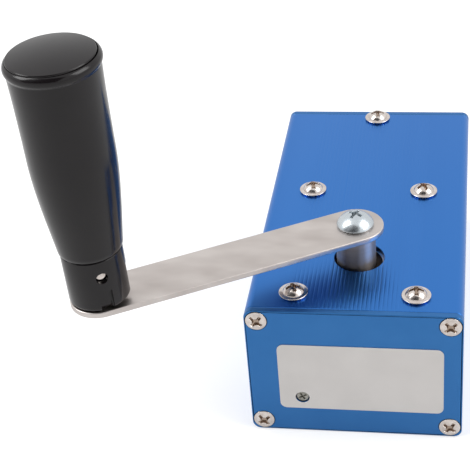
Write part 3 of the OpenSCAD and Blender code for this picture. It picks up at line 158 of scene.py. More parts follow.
def roundedLoop(width, height, radius, centre=(0, 0), steps=8):
    # Rounded rectangle, anticlockwise: four quarter circles, one set in each corner.
    reach = np.array([width, height]) / 2 - radius
    signs = ((1, 1), (-1, 1), (-1, -1), (1, -1))
    return np.vstack([arc(np.asarray(centre) + reach * sign, radius, 90 * i, 90 * i + 90, steps)
                      for i, sign in enumerate(signs)])


def movedLoop(loop, distance):
    # Each point of an anticlockwise loop slides out along the mean of its two edges' normals.
    ahead = np.roll(loop, -1, 0) - loop
    ahead = ahead / np.linalg.norm(ahead, axis=1, keepdims=True)
    both = ahead + np.roll(ahead, 1, 0)
    normal = np.stack([both[:, 1], -both[:, 0]], -1)
    return loop + distance * normal / np.maximum((both ** 2).sum(1, keepdims=True) / 2, 0.5)


def softRim(edge, thickness, side=-1, steps=3):
    # Stations (offset, depth) down a plate's edge: a quarter round, straight, a quarter round.
    # A station on either side of each round keeps the smooth normals of the flats square.
    turn = np.linspace(0, np.pi / 2, steps + 1)
    keep = min(3 * edge, 0.4 * thickness)
    top = np.stack([side * edge * (1 - np.sin(turn)), edge * (1 - np.cos(turn))], -1)
    top = np.vstack([[(side * keep, 0)], top, [(0, keep)]])
    return np.vstack([top, (top * (1, -1) + (0, thickness))[::-1]])


def plate(outer, holes=()):
    # A plate: every loop is carried down its rim of (offset, depth) stations, and the two flat
    # faces are filled between the outer loop and the holes. Gives points (across, up, depth).
    shells, ends = [], ([], [])
    for loop, rim in (outer, *holes):
        rings = [np.column_stack([movedLoop(loop, offset), np.full(len(loop), depth)])
                 for offset, depth in rim]
        shells.append((np.vstack(rings), gridFaces(len(rings), len(loop))))
        ends[0].append(rings[0])
        ends[1].append(rings[-1])
    for rings in ends:
        flat = np.vstack(rings)
        first = np.cumsum([0] + [len(ring) for ring in rings])
        bounds = [list(range(a, b)) for a, b in zip(first[:-1], first[1:])]
        corners, _, faces, *_ = delaunay_2d_cdt([Vector(p[:2]) for p in flat], [], bounds, 2, 1e-5)
        corners = np.column_stack([np.array(corners), np.full(len(corners), flat[0, 2])])
        shells.append((corners, np.array(faces)))
    return joined(shells)


def joined(shells):
    # Several shells as one: points stacked, and each shell's faces counted on from the last.
    start = np.cumsum([0] + [len(points) for points, _ in shells])
    faces = [[int(i) + int(first) for i in face]
             for (_, own), first in zip(shells, start) for face in own]
    return np.vstack([points for points, _ in shells]), faces


def moved(shell, matrix):
    # A shell's points carried by a 4 by 4 matrix.
    points, faces = shell
    grid = np.asarray(matrix, float)
    return points @ grid[:3, :3].T + grid[:3, 3], faces


def tube(path, radius, across, sides=12):
    # Tube: a circle carried along the path, squared up to its direction and to the hint across;
    # both ends close to a point.
    path = np.asarray(path, float)
    along = np.gradient(path, axis=0)
    along /= np.linalg.norm(along, axis=1, keepdims=True)
    out = np.cross(along, np.broadcast_to(across, path.shape))
    out /= np.linalg.norm(out, axis=1, keepdims=True)
    other = np.cross(along, out)
    angle = np.linspace(0, 2 * np.pi, sides, endpoint=False)[None, :, None]
    rings = path[:, None] + radius * (np.cos(angle) * out[:, None] + np.sin(angle) * other[:, None])
    ends = np.repeat(path[[0, -1], None], sides, 1)
    rings = np.concatenate([ends[:1], rings, ends[1:]])
    return rings.reshape(-1, 3), gridFaces(len(rings), sides)


def meshObject(name, shells, material, sharpDeg=35.0, pressed=None):
    # Millimetres to metres, doubles merged, normals outward, smooth but for edges over sharpDeg.
    # pressed gives each point 0 on the skin to 1 down in a recess, where the finish darkens to a painted
    # shade.
    points, faces = joined(shells)
    mesh = bpy.data.meshes.new(name)
    mesh.from_pydata((points / 1000).tolist(), [], faces)
    if pressed is not None:
        mesh.attributes.new("pressed", "FLOAT", "POINT").data.foreach_set("value", pressed)
    shape = bmesh.new()
    shape.from_mesh(mesh)
    bmesh.ops.remove_doubles(shape, verts=shape.verts, dist=2e-6)
    bmesh.ops.dissolve_degenerate(shape, edges=shape.edges, dist=1e-7)
    bmesh.ops.recalc_face_normals(shape, faces=shape.faces)
    shape.to_mesh(mesh)
    shape.free()
    mesh.materials.append(material)
    made = bpy.data.objects.new(name, mesh)
    bpy.context.scene.collection.objects.link(made)
    soften(made, sharpDeg)
    return made


def soften(piece, sharpDeg):
    mesh = piece.data
    mesh.polygons.foreach_set("use_smooth", np.ones(len(mesh.polygons), bool))
    mesh.set_sharp_from_angle(angle=np.radians(sharpDeg))


def standIn(piece, body, slot, *nodes):
    # The piece rides on its body and takes the place of CAD nodes; slot is not used.
    if nodes:
        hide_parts(*nodes)
    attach(piece, body)
    return piece


def carve(piece, cutter, sharpDeg=35.0):
    # Takes a closed cutter out of a piece, and keeps the result as the piece's own mesh.
    knife = piece.modifiers.new("cut", "BOOLEAN")
    knife.operation, knife.solver, knife.object = "DIFFERENCE", "EXACT", cutter
    shown = piece.evaluated_get(bpy.context.evaluated_depsgraph_get())
    mesh = bpy.data.meshes.new_from_object(shown)
    piece.modifiers.clear()
    piece.data = mesh
    bpy.data.objects.remove(cutter)
    soften(piece, sharpDeg)


# Camera: fitted to the photograph's outline of the case, crank and handle
view = {
    "place": (0.031791, -0.363529, 0.282500),
    "right": (0.985486, 0.150688, -0.078167),
    "up": (-0.021125, 0.565752, 0.824304),
    "lensMm": 103.9928,
    "sensorMm": 36.0,
}
right = Vector(view["right"]).normalized()
back = right.cross(Vector(view["up"])).normalized()
up = back.cross(right)
camera = bpy.data.objects.new("camera", bpy.data.cameras.new("camera"))
bpy.context.scene.collection.objects.link(camera)
camera.data.lens = view["lensMm"]
camera.data.sensor_width = view["sensorMm"]
camera.data.clip_start, camera.data.clip_end = 0.01, 20.0
turn = Matrix((right, up, back)).transposed().to_4x4()
camera.matrix_world = Matrix.Translation(view["place"]) @ turn
bpy.context.scene.camera = camera
bpy.context.scene.view_settings.view_transform = "Standard"
print("camera set")

# Room: white all round for the eye and for reflections, softer as light
room = {"white": "#ffffff", "asLight": 0.8, "floorColour": "#c8c8c8", "floorGlow": 0.50,
        "glossGlow": 0.25, "floorSize": 30.0, "floorDrop": 0.0002, "fibreMm": 40.0, "fibre": (0.88, 0.92)}
world = bpy.data.worlds.new("whiteRoom")
bpy.context.scene.world = world
world.use_nodes = True
tree = world.node_tree
tree.nodes.clear()
ray = addNode(tree, "LightPath")
seen = addNode(tree, "Math", {0: ray.outputs["Is Camera Ray"], 1: ray.outputs["Is Glossy Ray"]},
               operation="MAXIMUM")
seen = addNode(tree, "Math", {0: seen.outputs[0], 1: ray.outputs["Is Transmission Ray"]},
               operation="MAXIMUM")
level = addNode(tree, "MapRange", {
    "Value": seen.outputs[0], "To Min": room["asLight"], "To Max": 1.0})
sky = addNode(tree, "Background", {"Color": hexColour(room["white"]), "Strength": level.outputs[0]})
addNode(tree, "OutputWorld", {"Surface": sky.outputs[0]})


def panel(name, width, depth, height=0.0):
    # A flat sheet that looks up, centred on the origin.
    square = np.array([(-1, -1, 0), (1, -1, 0), (1, 1, 0), (-1, 1, 0)])
    corners = square * (width / 2, depth / 2, 0) + (0, 0, height)
    mesh = bpy.data.meshes.new(name)
    mesh.from_pydata(corners.tolist(), [], [(0, 1, 2, 3)])
    made = bpy.data.objects.new(name, mesh)
    bpy.context.scene.collection.objects.link(made)
    return made


floor = panel("floor", room["floorSize"], room["floorSize"], -room["floorDrop"])
paper, tree = newTree("whitePaperSweep")
ray = addNode(tree, "LightPath")
# The floor glows for the camera and, less, for reflections, so that it reads as white paper.
glow = addNode(tree, "Math", {0: ray.outputs["Is Camera Ray"], 1: room["floorGlow"]},
               operation="MULTIPLY")
glow = addNode(tree, "Math", {
    0: ray.outputs["Is Glossy Ray"], 1: room["glossGlow"], 2: glow.outputs[0]}, operation="MULTIPLY_ADD")
grain = cloud(tree, place(tree), room["fibreMm"], 2.0, *room["fibre"])
shader = addNode(tree, "BsdfPrincipled", {
    "Base Color": hexColour(room["floorColour"]), "Roughness": grain, "Specular IOR Level": 0.1,
    "Emission Color": hexColour(room["white"]), "Emission Strength": glow.outputs[0]})
addNode(tree, "OutputMaterial", {"Surface": shader.outputs[0]})
floor.data.materials.append(paper)

# A grey flag stands behind the camera, out of its sight, and gives the metal something dark
# to reflect.
flag = {"place": (-0.30, -0.85, 0.70), "aim": (0, 0, 0.04), "width": 1.8, "height": 1.1,
        "colour": "#58585a", "weaveMm": 3.0, "weave": (0.9, 1.0)}
darkFlag = panel("darkFlag", flag["width"], flag["height"])
cloth, tree = newTree("blackVelvet")
weave = cloud(tree, place(tree), flag["weaveMm"], 2.0, *flag["weave"])
shader = addNode(tree, "BsdfPrincipled", {
    "Base Color": hexColour(flag["colour"]), "Roughness": weave, "Specular IOR Level": 0.0})
addNode(tree, "OutputMaterial", {"Surface": shader.outputs[0]})
darkFlag.data.materials.append(cloth)
darkFlag.location = flag["place"]
towards = Vector(flag["aim"]) - darkFlag.location
darkFlag.rotation_euler = towards.to_track_quat("Z", "Y").to_euler()
darkFlag.visible_camera = False
darkFlag.visible_shadow = False

lampAim = (0, 0, 0.03)
lamps = {
    "softboxLeft": {"place": (-0.85, -0.35, 0.95), "size": (0.8, 0.8), "watts": 11.0},
    "softboxRight": {"place": (1.0, -0.15, 0.9), "size": (0.8, 0.8), "watts": 8.0},
}
for name, lamp in lamps.items():
    light = bpy.data.lights.new(name, "AREA")
    light.shape = "RECTANGLE"
    light.size, light.size_y = lamp["size"]
    light.energy = lamp["watts"]
    holder = bpy.data.objects.new(name, light)
    bpy.context.scene.collection.objects.link(holder)
    holder.location = lamp["place"]
    towards = Vector(lampAim) - holder.location
    holder.rotation_euler = towards.to_track_quat("-Z", "Y").to_euler()
print("room and lamps set")

# Finishes
# Dyed anodised aluminium, extruded and then satin blasted: metal that keeps its
# shine under a blue skin, with faint lines along the way it was drawn.
anodisedExtrusion = surface("anodisedExtrusion", {
    "colour": "#3b79c5", "shade": "#3775c1", "patchMm": 18.0, "glossMm": 0.9, "roughness": (0.29, 0.33),
    "grainMm": 0.35, "reliefMm": 0.003, "metallic": 1.0, "stretch": (1, 0.02, 1)})
# The end plates are cut from sheet, so the blast leaves an even grain.
anodisedSheet = surface("anodisedSheet", {
    "colour": "#3c73af", "shade": "#386fab", "patchMm": 14.0, "glossMm": 3.0, "roughness": (0.30, 0.40),
    "grainMm": 0.4, "reliefMm": 0.004, "metallic": 1.0})

# Coated polypropylene film, printed side bare: pale warm grey with a dull sheen.
coatedFilm = surface("coatedFilm", {
    "colour": "#e1ddda", "shade": "#dcd8d5", "patchMm": 9.0, "glossMm": 5.0, "roughness": (0.42, 0.55),
    "grainMm": 7.0, "reliefMm": 0.02, "metallic": 0.0})

# Nickel plated steel: warm white metal, nearly a mirror with fine tumbling marks; down in the cross
# recesses a darker brown stands in as painted shade.
nickelPlate = surface("nickelPlate", {
    "colour": "#ddd6d1", "shade": "#c8bdb6", "patchMm": 1.5, "glossMm": 0.8, "roughness": (0.12, 0.22),
    "grainMm": 0.5, "reliefMm": 0.012, "metallic": 1.0, "recessShadeColour": "#a29082"})

# Zinc plated steel with a clear passivate: cooler and a little milky; a slightly darker grey in the cross
# recess is painted shade.
zincPlate = surface("zincPlate", {
    "colour": "#c8cfd4", "shade": "#bdc5cb", "patchMm": 3.0, "glossMm": 1.5, "roughness": (0.24, 0.31),
    "grainMm": 0.8, "reliefMm": 0.008, "metallic": 1.0, "recessShadeColour": "#b5babd"})

# Stainless sheet, laser cut and tumbled: warm grey, cloudy, with a soft gloss.
tumbledStainless = surface("tumbledStainless", {
    "colour": "#cec7c3", "shade": "#b9b1ad", "patchMm": 7.0, "glossMm": 5.0, "roughness": (0.30, 0.44),
    "grainMm": 0.5, "reliefMm": 0.006, "metallic": 1.0,
    "turn": (0, 0, np.radians(-30.0)), "stretch": (0.45, 1, 1)})

# Turned and ground steel: the fine rings round the axis draw each reflection out along the axis.
turnedSteel = surface("turnedSteel", {
    "colour": "#bbafa7", "shade": "#aaa098", "patchMm": 2.0, "glossMm": 0.6, "roughness": (0.33, 0.36),
    "grainMm": 0.25, "reliefMm": 0.002, "metallic": 1.0, "stretch": (0.1, 0.1, 1),
    "sockets": {"Anisotropic": 0.9, "Anisotropic Rotation": 0.25}})

# Blackened gear steel with a film of oil.
oiledSteel = surface("oiledSteel", {
    "colour": "#6e7074", "shade": "#5c5e62", "patchMm": 3.0, "glossMm": 1.5, "roughness": (0.22, 0.38),
    "grainMm": 0.3, "reliefMm": 0.006, "metallic": 1.0})

# Machined brass, a little tarnished between the teeth.
machinedBrass = surface("machinedBrass", {
    "colour": "#d8b565", "shade": "#c09a4c", "patchMm": 3.0, "glossMm": 1.0, "roughness": (0.18, 0.32),
    "grainMm": 0.25, "reliefMm": 0.006, "metallic": 1.0})

# Sintered bronze full of oil: dark brown metal with open pores.
sinteredBronze = surface("sinteredBronze", {
    "colour": "#2b221c", "shade": "#1d1713", "patchMm": 1.0, "glossMm": 0.6, "roughness": (0.40, 0.60),
    "grainMm": 0.2, "reliefMm": 0.03, "metallic": 1.0})

# Electroplated drawn steel of the motor's can, its stacked core and the spring's wire.
drawnSteel = surface("drawnSteel", {
    "colour": "#b9b8b4", "shade": "#a8a7a2", "patchMm": 6.0, "glossMm": 2.0, "roughness": (0.24, 0.38),
    "grainMm": 0.3, "reliefMm": 0.006, "metallic": 1.0, "stretch": (1, 1, 0.1)})

# Enamelled copper wire and copper bars.
enamelledCopper = surface("enamelledCopper", {
    "colour": "#c8713a", "shade": "#a9562a", "patchMm": 1.2, "glossMm": 0.8, "roughness": (0.20, 0.34),
    "grainMm": 0.25, "reliefMm": 0.01, "metallic": 1.0})

# Phenolic resin, hot moulded and polished: near black with a slow ripple and faint rubs.
blackPhenolic = surface("blackPhenolic", {
    "colour": "#100c0e", "shade": "#151113", "patchMm": 8.0, "glossMm": 5.0, "roughness": (0.13, 0.21),
    "grainMm": 4.0, "reliefMm": 0.008, "metallic": 0.0, "sockets": {"IOR": 1.4}})

# Glass filled nylon: dull black with a spark eroded texture.
mouldedNylon = surface("mouldedNylon", {
    "colour": "#1b1b1d", "shade": "#232325", "patchMm": 5.0, "glossMm": 1.0, "roughness": (0.42, 0.58),
    "grainMm": 0.35, "reliefMm": 0.02, "metallic": 0.0})

# Glass epoxy board under green lacquer.
boardLacquer = surface("boardLacquer", {
    "colour": "#1f6a3c", "shade": "#195a32", "patchMm": 4.0, "glossMm": 2.0, "roughness": (0.22, 0.34),
    "grainMm": 0.6, "reliefMm": 0.01, "metallic": 0.0})

# Shrunk PVC round the capacitors.
shrinkSleeve = surface("shrinkSleeve", {
    "colour": "#23242e", "shade": "#1c1d26", "patchMm": 5.0, "glossMm": 2.0, "roughness": (0.24, 0.34),
    "grainMm": 1.5, "reliefMm": 0.02, "metallic": 0.0})

# Natural nylon of the connectors and the socket's tongue: milky, and a little light goes in.
naturalNylon = surface("naturalNylon", {
    "colour": "#e6e2d6", "shade": "#ddd8ca", "patchMm": 3.0, "glossMm": 1.0, "roughness": (0.36, 0.48),
    "grainMm": 0.4, "reliefMm": 0.01, "metallic": 0.0,
    "sockets": {"Subsurface Weight": 0.1, "Subsurface Radius": (0.001, 0.001, 0.0008)}})

# Moulded blue thermoplastic of the trimmer's case.
trimmerBlue = surface("trimmerBlue", {
    "colour": "#2c5fae", "shade": "#2856a0", "patchMm": 2.0, "glossMm": 1.0, "roughness": (0.34, 0.46),
    "grainMm": 0.4, "reliefMm": 0.01, "metallic": 0.0})

# Tin plated steel and brass: silvery and slightly frosted.
tinPlate = surface("tinPlate", {
    "colour": "#c9c9c6", "shade": "#bcbcb8", "patchMm": 3.0, "glossMm": 1.2, "roughness": (0.20, 0.34),
    "grainMm": 0.4, "reliefMm": 0.008, "metallic": 1.0})

# Blackened screw of the trimmer: dark grey metal, rubbed lighter.
blackenedScrew = surface("blackenedScrew", {
    "colour": "#a9a79f", "shade": "#8d8b83", "patchMm": 1.2, "glossMm": 0.8, "roughness": (0.30, 0.45),
    "grainMm": 0.3, "reliefMm": 0.01, "metallic": 1.0})

# Red PVC insulation.
redPvc = surface("redPvc", {
    "colour": "#b3261e", "shade": "#a01f18", "patchMm": 4.0, "glossMm": 2.0, "roughness": (0.34, 0.46),
    "grainMm": 0.5, "reliefMm": 0.01, "metallic": 0.0})

dress(nickelPlate, "post_screws", "motor_screws", "board_screws", "plate_posts", "gear_axles")
dress(zincPlate, "rod_nut", "spindle_tube", "grip_washer", "grip_screw")
dress(tumbledStainless, "upper_gear_plate", "lower_gear_plate", "socket_bracket", "handle_foot",
      "handle_rod")
dress(turnedSteel, "drive_shaft", "motor_shaft", "shaft_clip")
dress(oiledSteel, "main_gear", "motor_magnets")
dress(machinedBrass, "first_compound_gear", "second_compound_gear", "motor_pinion")
dress(sinteredBronze, "upper_shaft_bush", "lower_shaft_bush", "motor_bushes")
dress(drawnSteel, "motor_can", "motor_armature")
dress(enamelledCopper, "commutator", "inductor")
dress(mouldedNylon, "motor_end_cap", "motor_brushes", "bridge_rectifier", "regulator", "dc_socket")
dress(boardLacquer, "control_board", "socket_board")
dress(shrinkSleeve, "capacitors")
dress(naturalNylon, "lead_connectors", "usb_insulator")
dress(trimmerBlue, "trimmer_body")
dress(tinPlate, "usb_shell")
dress(redPvc, "motor_leads", "output_leads")
print("finishes set")

# Case: the extrusion's section carried from plate to plate, then drilled from above
case = {
    "width": 63.0, "height": 45.0, "length": 117.0, "cornerR": 2.5, "wall": 2.0, "plateT": 2.0,
    "edge": 0.16, "screwInset": 3.6, "screwHole": 1.52, "channelR": 2.7,
    "grooves": 31, "groovePitch": 1.2, "grooveW": 0.7, "grooveDepth": 0.045, "grooveLand": 0.58,
    "guideZ": (6.05, 7.25, 9.15, 10.35), "guideReach": 1.9,
    "shaftHole": (0.0, -30.3, 7.5), "screwHoleR": 2.2, "drillBelow": 4, "drillAbove": 1,
    "sinkR": 1.70, "sinkTipR": 0.02, "sinkDepth": 1.66, "openingEdge": 0.15,
    "topScrews": ((-17.8, -49.3), (17.8, -49.3), (-17.8, 6.4), (17.8, 6.4), (0.0, 53.6)),
}
halfW, halfL = case["width"] / 2, case["length"] / 2
frontY, rearY = -halfL, halfL
# Takes (across, up, depth) to X, Z and Y.
sideToSide = Matrix(((1, 0, 0, 0), (0, 0, 1, 0), (0, 1, 0, 0), (0, 0, 0, 1)))


def atY(y):
    return Matrix.Translation((0, y, 0)) @ sideToSide


def groovedOutline():
    # Rounded rectangle whose top edge dips along X: depth times half of one plus the cosine in each
    # groove, with a point on either side that keeps the land between two grooves flat.
    loop = roundedLoop(case["width"], case["height"], case["cornerR"], (0, case["height"] / 2))
    step = np.hstack([-case["grooveLand"], np.linspace(-0.5, 0.5, 7), case["grooveLand"]])
    centres = (np.arange(case["grooves"]) - (case["grooves"] - 1) / 2)[::-1] * case["groovePitch"]
    x = (centres[:, None] - step * case["grooveW"]).ravel()
    wave = 0.5 + 0.5 * np.cos(2 * np.pi * np.clip(step, -0.5, 0.5))
    dip = np.tile(wave, case["grooves"]) * case["grooveDepth"]
    top = np.column_stack([x, case["height"] - dip])
    first = len(loop) // 4
    return np.vstack([loop[:first], top, loop[first:]])


def cavityLoop():
    # Inside of the section, anticlockwise from the floor: walls, board guides and screw channels.
    w, low, high = halfW - case["wall"], case["wall"], case["height"] - case["wall"]
    x, z = halfW - case["screwInset"], case["height"] - case["screwInset"]
    r = case["channelR"]
    bite = np.degrees(np.arccos((w - x) / r))
    upper = arc((x, z), r, 360 - bite, 90 + bite, 14)
    lower = arc((x, case["screwInset"]), r, 270 - bite, bite, 14)
    g = case["guideZ"]
    rail = w - case["guideReach"]
    guides = [(w, g[0]), (rail, g[0]), (rail, g[1]), (w, g[1]),
              (w, g[2]), (rail, g[2]), (rail, g[3]), (w, g[3])]
    side = np.vstack([lower, guides, upper])
    return np.vstack([side, (side * (-1, 1))[::-1]])


bodyLength = case["length"] - 2 * case["plateT"]
sharpRim = np.array([(0, 0), (0, bodyLength)])
screwSpots = [(x * (halfW - case["screwInset"]), z) for x in (-1, 1)
              for z in (case["screwInset"], case["height"] - case["screwInset"])]
section = plate((groovedOutline(), softRim(case["edge"], bodyLength)),
                [(cavityLoop(), sharpRim)]
                + [(circleLoop(spot, case["screwHole"], 24), sharpRim) for spot in screwSpots])
caseExtrusion = meshObject("caseExtrusion", [moved(section, atY(frontY + case["plateT"]))],
                           anodisedExtrusion)
# The drills reach from below the wall to above it; the shaft's hole is broken at its rim.
x, y, r = case["shaftHole"]
top, e = case["height"], case["edge"]
below, above = top - case["drillBelow"], top + case["drillAbove"]
shaftDrill = turned([(0, below), (r, below), (r, top - e), (r + 2 * e, top + e), (0, top + e)], 96)
screwDrill = turned([(0, below), (case["screwHoleR"], below), (case["screwHoleR"], above), (0, above)], 32)
drill = [moved(shaftDrill, Matrix.Translation((x, y, 0)))]
drill += [moved(screwDrill, Matrix.Translation((x, y, 0))) for x, y in case["topScrews"]]
carve(caseExtrusion, meshObject("drill", drill, anodisedExtrusion))
standIn(caseExtrusion, "housing", "anodised_aluminium", "case_extrusion")


def endPlate(name, y, outward, holes, node):
    # Rounded plate, countersunk at its corners; outward is the side its screws are on.
    cone = [(case["sinkR"], 0.0), (case["sinkTipR"], case["sinkDepth"]), (case["sinkTipR"], case["plateT"])]
    outline = roundedLoop(case["width"], case["height"], case["cornerR"], (0, case["height"] / 2))
    sunk = [(circleLoop(spot, case["sinkR"], 48), cone) for spot in screwSpots]
    shell = plate((outline, softRim(case["edge"], case["plateT"])), sunk + holes)
    flip = Matrix.Diagonal((1, -outward, 1, 1))
    carry = Matrix.Translation((0, y, 0)) @ flip @ sideToSide
    piece = meshObject(name, [moved(shell, carry)], anodisedSheet)
    return standIn(piece, "housing", "anodised_aluminium", node)


trimmer = {"x": -15.65, "z": 13.2, "holeR": 2.1, "headR": 1.9, "headFront": -58.2, "headBack": -56.9,
           "stemR": 1.3, "stemBack": -53.42, "edge": 0.2, "rings": 24, "ringsFrom": 0.05, "ringsTo": 0.9}
openEdge = softRim(case["openingEdge"], case["plateT"], 1)
endPlate("frontPlate", frontY, -1,
         [(circleLoop((trimmer["x"], trimmer["z"]), trimmer["holeR"], 48), openEdge)], "front_plate")
outlets = {"usbAt": (-10.5, 18.0), "usbW": 13.6, "usbH": 6.2, "usbR": 0.4,
           "powerAt": (10.5, 18.0), "powerR": 4.2}
endPlate("rearPlate", rearY, 1,
         [(roundedLoop(outlets["usbW"], outlets["usbH"], outlets["usbR"], outlets["usbAt"], 4), openEdge),
          (circleLoop(outlets["powerAt"], outlets["powerR"], 64), openEdge)], "rear_plate")

film = {"width": 48.5, "height": 24.0, "cornerR": 2.0, "middle": (1.8, 21.0), "thick": 0.3, "edge": 0.1}
shell = plate((roundedLoop(film["width"], film["height"], film["cornerR"], film["middle"]),
               softRim(film["edge"], film["thick"])),
              [(circleLoop((trimmer["x"], trimmer["z"]), trimmer["holeR"], 48),
                softRim(film["edge"], film["thick"], 1))])
label = meshObject("labelFilm", [moved(shell, atY(frontY - film["thick"]))], coatedFilm)
standIn(label, "housing", "label_stock", "label")
print("case, plates and label made")


# Screws: a turned head with a cross pressed in, and a threaded shank
def pressCross(points, recess):
    # Depth below the head: full inside a cross of two bars and a diamond, falling away over the
    # wall's width, and shallower towards the tips of the arms.
    turn = np.radians(recess["turn"])
    x = np.abs(points[:, 0] * np.cos(turn) + points[:, 1] * np.sin(turn))
    y = np.abs(points[:, 1] * np.cos(turn) - points[:, 0] * np.sin(turn))
    reach, half = recess["width"] / 2, recess["arm"] / 2
    bars = np.minimum(np.maximum(x - reach, y - half), np.maximum(y - reach, x - half))
    inside = -np.minimum(bars, (x + y) - recess["core"])
    share = np.clip(inside / recess["wall"], 0, 1)
    fall = 1 - recess["slope"] * np.hypot(x, y) / reach
    sunk = points.copy()
    sunk[:, 2] -= recess["depth"] * share * (2 - share) * np.clip(fall, 0, 1)
    return sunk


def dome(radius, height, base, steps):
    # Top of a ball from the axis to its rim: base plus what the ball stands above its own rim.
    ball = (radius ** 2 + height ** 2) / (2 * height)
    r = np.linspace(0, radius, steps + 1)
    return np.column_stack([r, base + np.sqrt(ball ** 2 - r ** 2) - (ball - height)])


screwMesh = {"rings": 34, "sides": 144, "shankSides": 24, "rowsPerTurn": 4, "darkenBy": 2.5}


def screwShells(look):
    # The head's profile is turned and pressed; the shank's radius dips with the thread's phase.
    crown = dome(look["domeR"], look["domeH"], look["domeZ"], screwMesh["rings"])
    points, faces = turned(np.vstack([crown, look["under"]]), screwMesh["sides"])
    rows = len(crown) * screwMesh["sides"]
    skin = points[:, 2].copy()
    points[:rows] = pressCross(points[:rows], look["recess"])
    # How deep each point of the head is pressed sets its painted shade, full at a share of the recess's
    # depth set by darkenBy.
    share = (skin - points[:, 2]) / look["recess"]["depth"]
    pressed = np.clip(share * screwMesh["darkenBy"], 0, 1)
    step = look["pitch"] / screwMesh["rowsPerTurn"]
    z = np.arange(look["shankTop"], look["shankEnd"], -step)[:, None]
    angle = np.linspace(0, 2 * np.pi, screwMesh["shankSides"], endpoint=False)[None, :]
    phase = (z / look["pitch"] - angle / (2 * np.pi)) % 1
    r = look["shankR"] - look["threadDepth"] * np.abs(2 * phase - 1)
    r[0] = r[-1] = 0
    shank = np.stack([r * np.cos(angle), r * np.sin(angle), np.broadcast_to(z, r.shape)], -1)
    shank = shank.reshape(-1, 3)
    marks = np.append(pressed, np.zeros(len(shank)))
    return [(points, faces), (shank, gridFaces(len(z), screwMesh["shankSides"]))], marks


def screwSet(name, look, spots, facing, material, body, slot, node):
    # One mesh for the set: each spot is (place, turn of the cross in degrees).
    shells, pressed = [], []
    for spot, turn in spots:
        look["recess"]["turn"] = turn
        carry = Matrix.Translation(spot) @ facing
        own, marks = screwShells(look)
        shells += [moved(shell, carry) for shell in own]
        pressed.append(marks)
    piece = meshObject(name, shells, material, 50.0, np.concatenate(pressed))
    return standIn(piece, body, slot, node)


# Countersunk head: a low dome on a rounded rim, and a cone that ends inside the shank.
sunkUnder = np.vstack([arc((3.0, -0.03), 0.15, 80, -30, 4), [(1.5, -1.65), (0, -1.65)]])
cornerScrew = {
    "domeR": 3.0, "domeH": 0.6, "domeZ": 0.12, "under": sunkUnder,
    "recess": {"width": 4.3, "arm": 1.0, "core": 1.5, "wall": 0.35, "depth": 1.4, "slope": 0.6},
    "shankTop": -1.6, "shankEnd": -10.0, "shankR": 1.5, "pitch": 0.5, "threadDepth": 0.25}
outFront = Matrix.Rotation(np.radians(90), 4, "X")    # a screw's +Z turned to face -Y
outRear = Matrix.Rotation(np.radians(-90), 4, "X")
inset = case["screwInset"]
leftX, rightX, low, high = -halfW + inset, halfW - inset, inset, case["height"] - inset
corners = ((leftX, high), (rightX, high), (leftX, low), (rightX, low))
screwSet("frontPlateScrews", cornerScrew,
         [((x, frontY, z), turn) for (x, z), turn in zip(corners, (50, 44, 38, 52))],
         outFront, nickelPlate, "housing", "nickel_screws", "front_plate_screws")
screwSet("rearPlateScrews", cornerScrew,
         [((x, rearY, z), turn) for (x, z), turn in zip(corners, (12, 71, 33, 58))],
         outRear, nickelPlate, "housing", "nickel_screws", "rear_plate_screws")

# Flanged head: down the dome's side, out along the flange, round its rim and back underneath.
flangeUnder = np.vstack([[(3.13, 1.02), (3.16, 0.8), (3.3, 0.74)], arc((4.1, 0.55), 0.2, 80, 0, 3),
                         [(4.28, 0.45), (3.9, 0.06), (3.8, 0), (0, 0)]])
flangeScrew = {
    "domeR": 3.08, "domeH": 1.7, "domeZ": 1.08, "under": flangeUnder,
    "recess": {"width": 4.3, "arm": 1.05, "core": 1.35, "wall": 0.25, "depth": 1.8, "slope": 0.55},
    "shankTop": 0.1, "shankEnd": -10.0, "shankR": 2.0, "pitch": 0.7, "threadDepth": 0.35}
upright = Matrix.Identity(4)
screwSet("gearboxScrews", flangeScrew,
         [((*spot, top), turn) for spot, turn in zip(case["topScrews"][:4], (20, 5, 12, 30))],
         upright, nickelPlate, "housing", "nickel_screws", "gearbox_screws")
shortScrew = dict(flangeScrew, shankEnd=-5.0)
screwSet("bracketScrew", shortScrew, [((*case["topScrews"][4], top), 8)], upright, nickelPlate,
         "housing", "nickel_screws", "bracket_screw")
print("case screws made")

# Crank: the arm's outline with its two holes, softened along its laser cut edges
crank = {"x": -0.9, "y": -30.3, "turn": 209.0, "reach": 79.0, "armW": 16.8, "armT": 1.8, "armZ": 55.0,
         "edge": 0.3, "tenonFlat": 3.02, "tenonR": 4.02, "rivetR": 3.02}
onCrank = (Matrix.Translation((crank["x"], crank["y"], 0))
           @ Matrix.Rotation(np.radians(crank["turn"]), 4, "Z"))
half = crank["armW"] / 2
outline = np.vstack([arc((0, 0), half, 90, 270, 40), arc((crank["reach"], 0), half, -90, 90, 40)])
flat = np.degrees(np.arccos(crank["tenonFlat"] / crank["tenonR"]))
tenon = np.vstack([arc((0, 0), crank["tenonR"], flat, 180 - flat, 10),
                   arc((0, 0), crank["tenonR"], 180 + flat, 360 - flat, 10)])
plain = [(0, 0), (0, crank["armT"])]
shell = plate((outline, softRim(crank["edge"], crank["armT"], steps=4)),
              [(tenon, plain), (circleLoop((crank["reach"], 0), crank["rivetR"], 32), plain)])
carry = onCrank @ Matrix.Translation((0, 0, crank["armZ"]))
crankArm = meshObject("crankArm", [moved(shell, carry)], tumbledStainless)
standIn(crankArm, "crank", "stainless_sheet", "crank_arm")

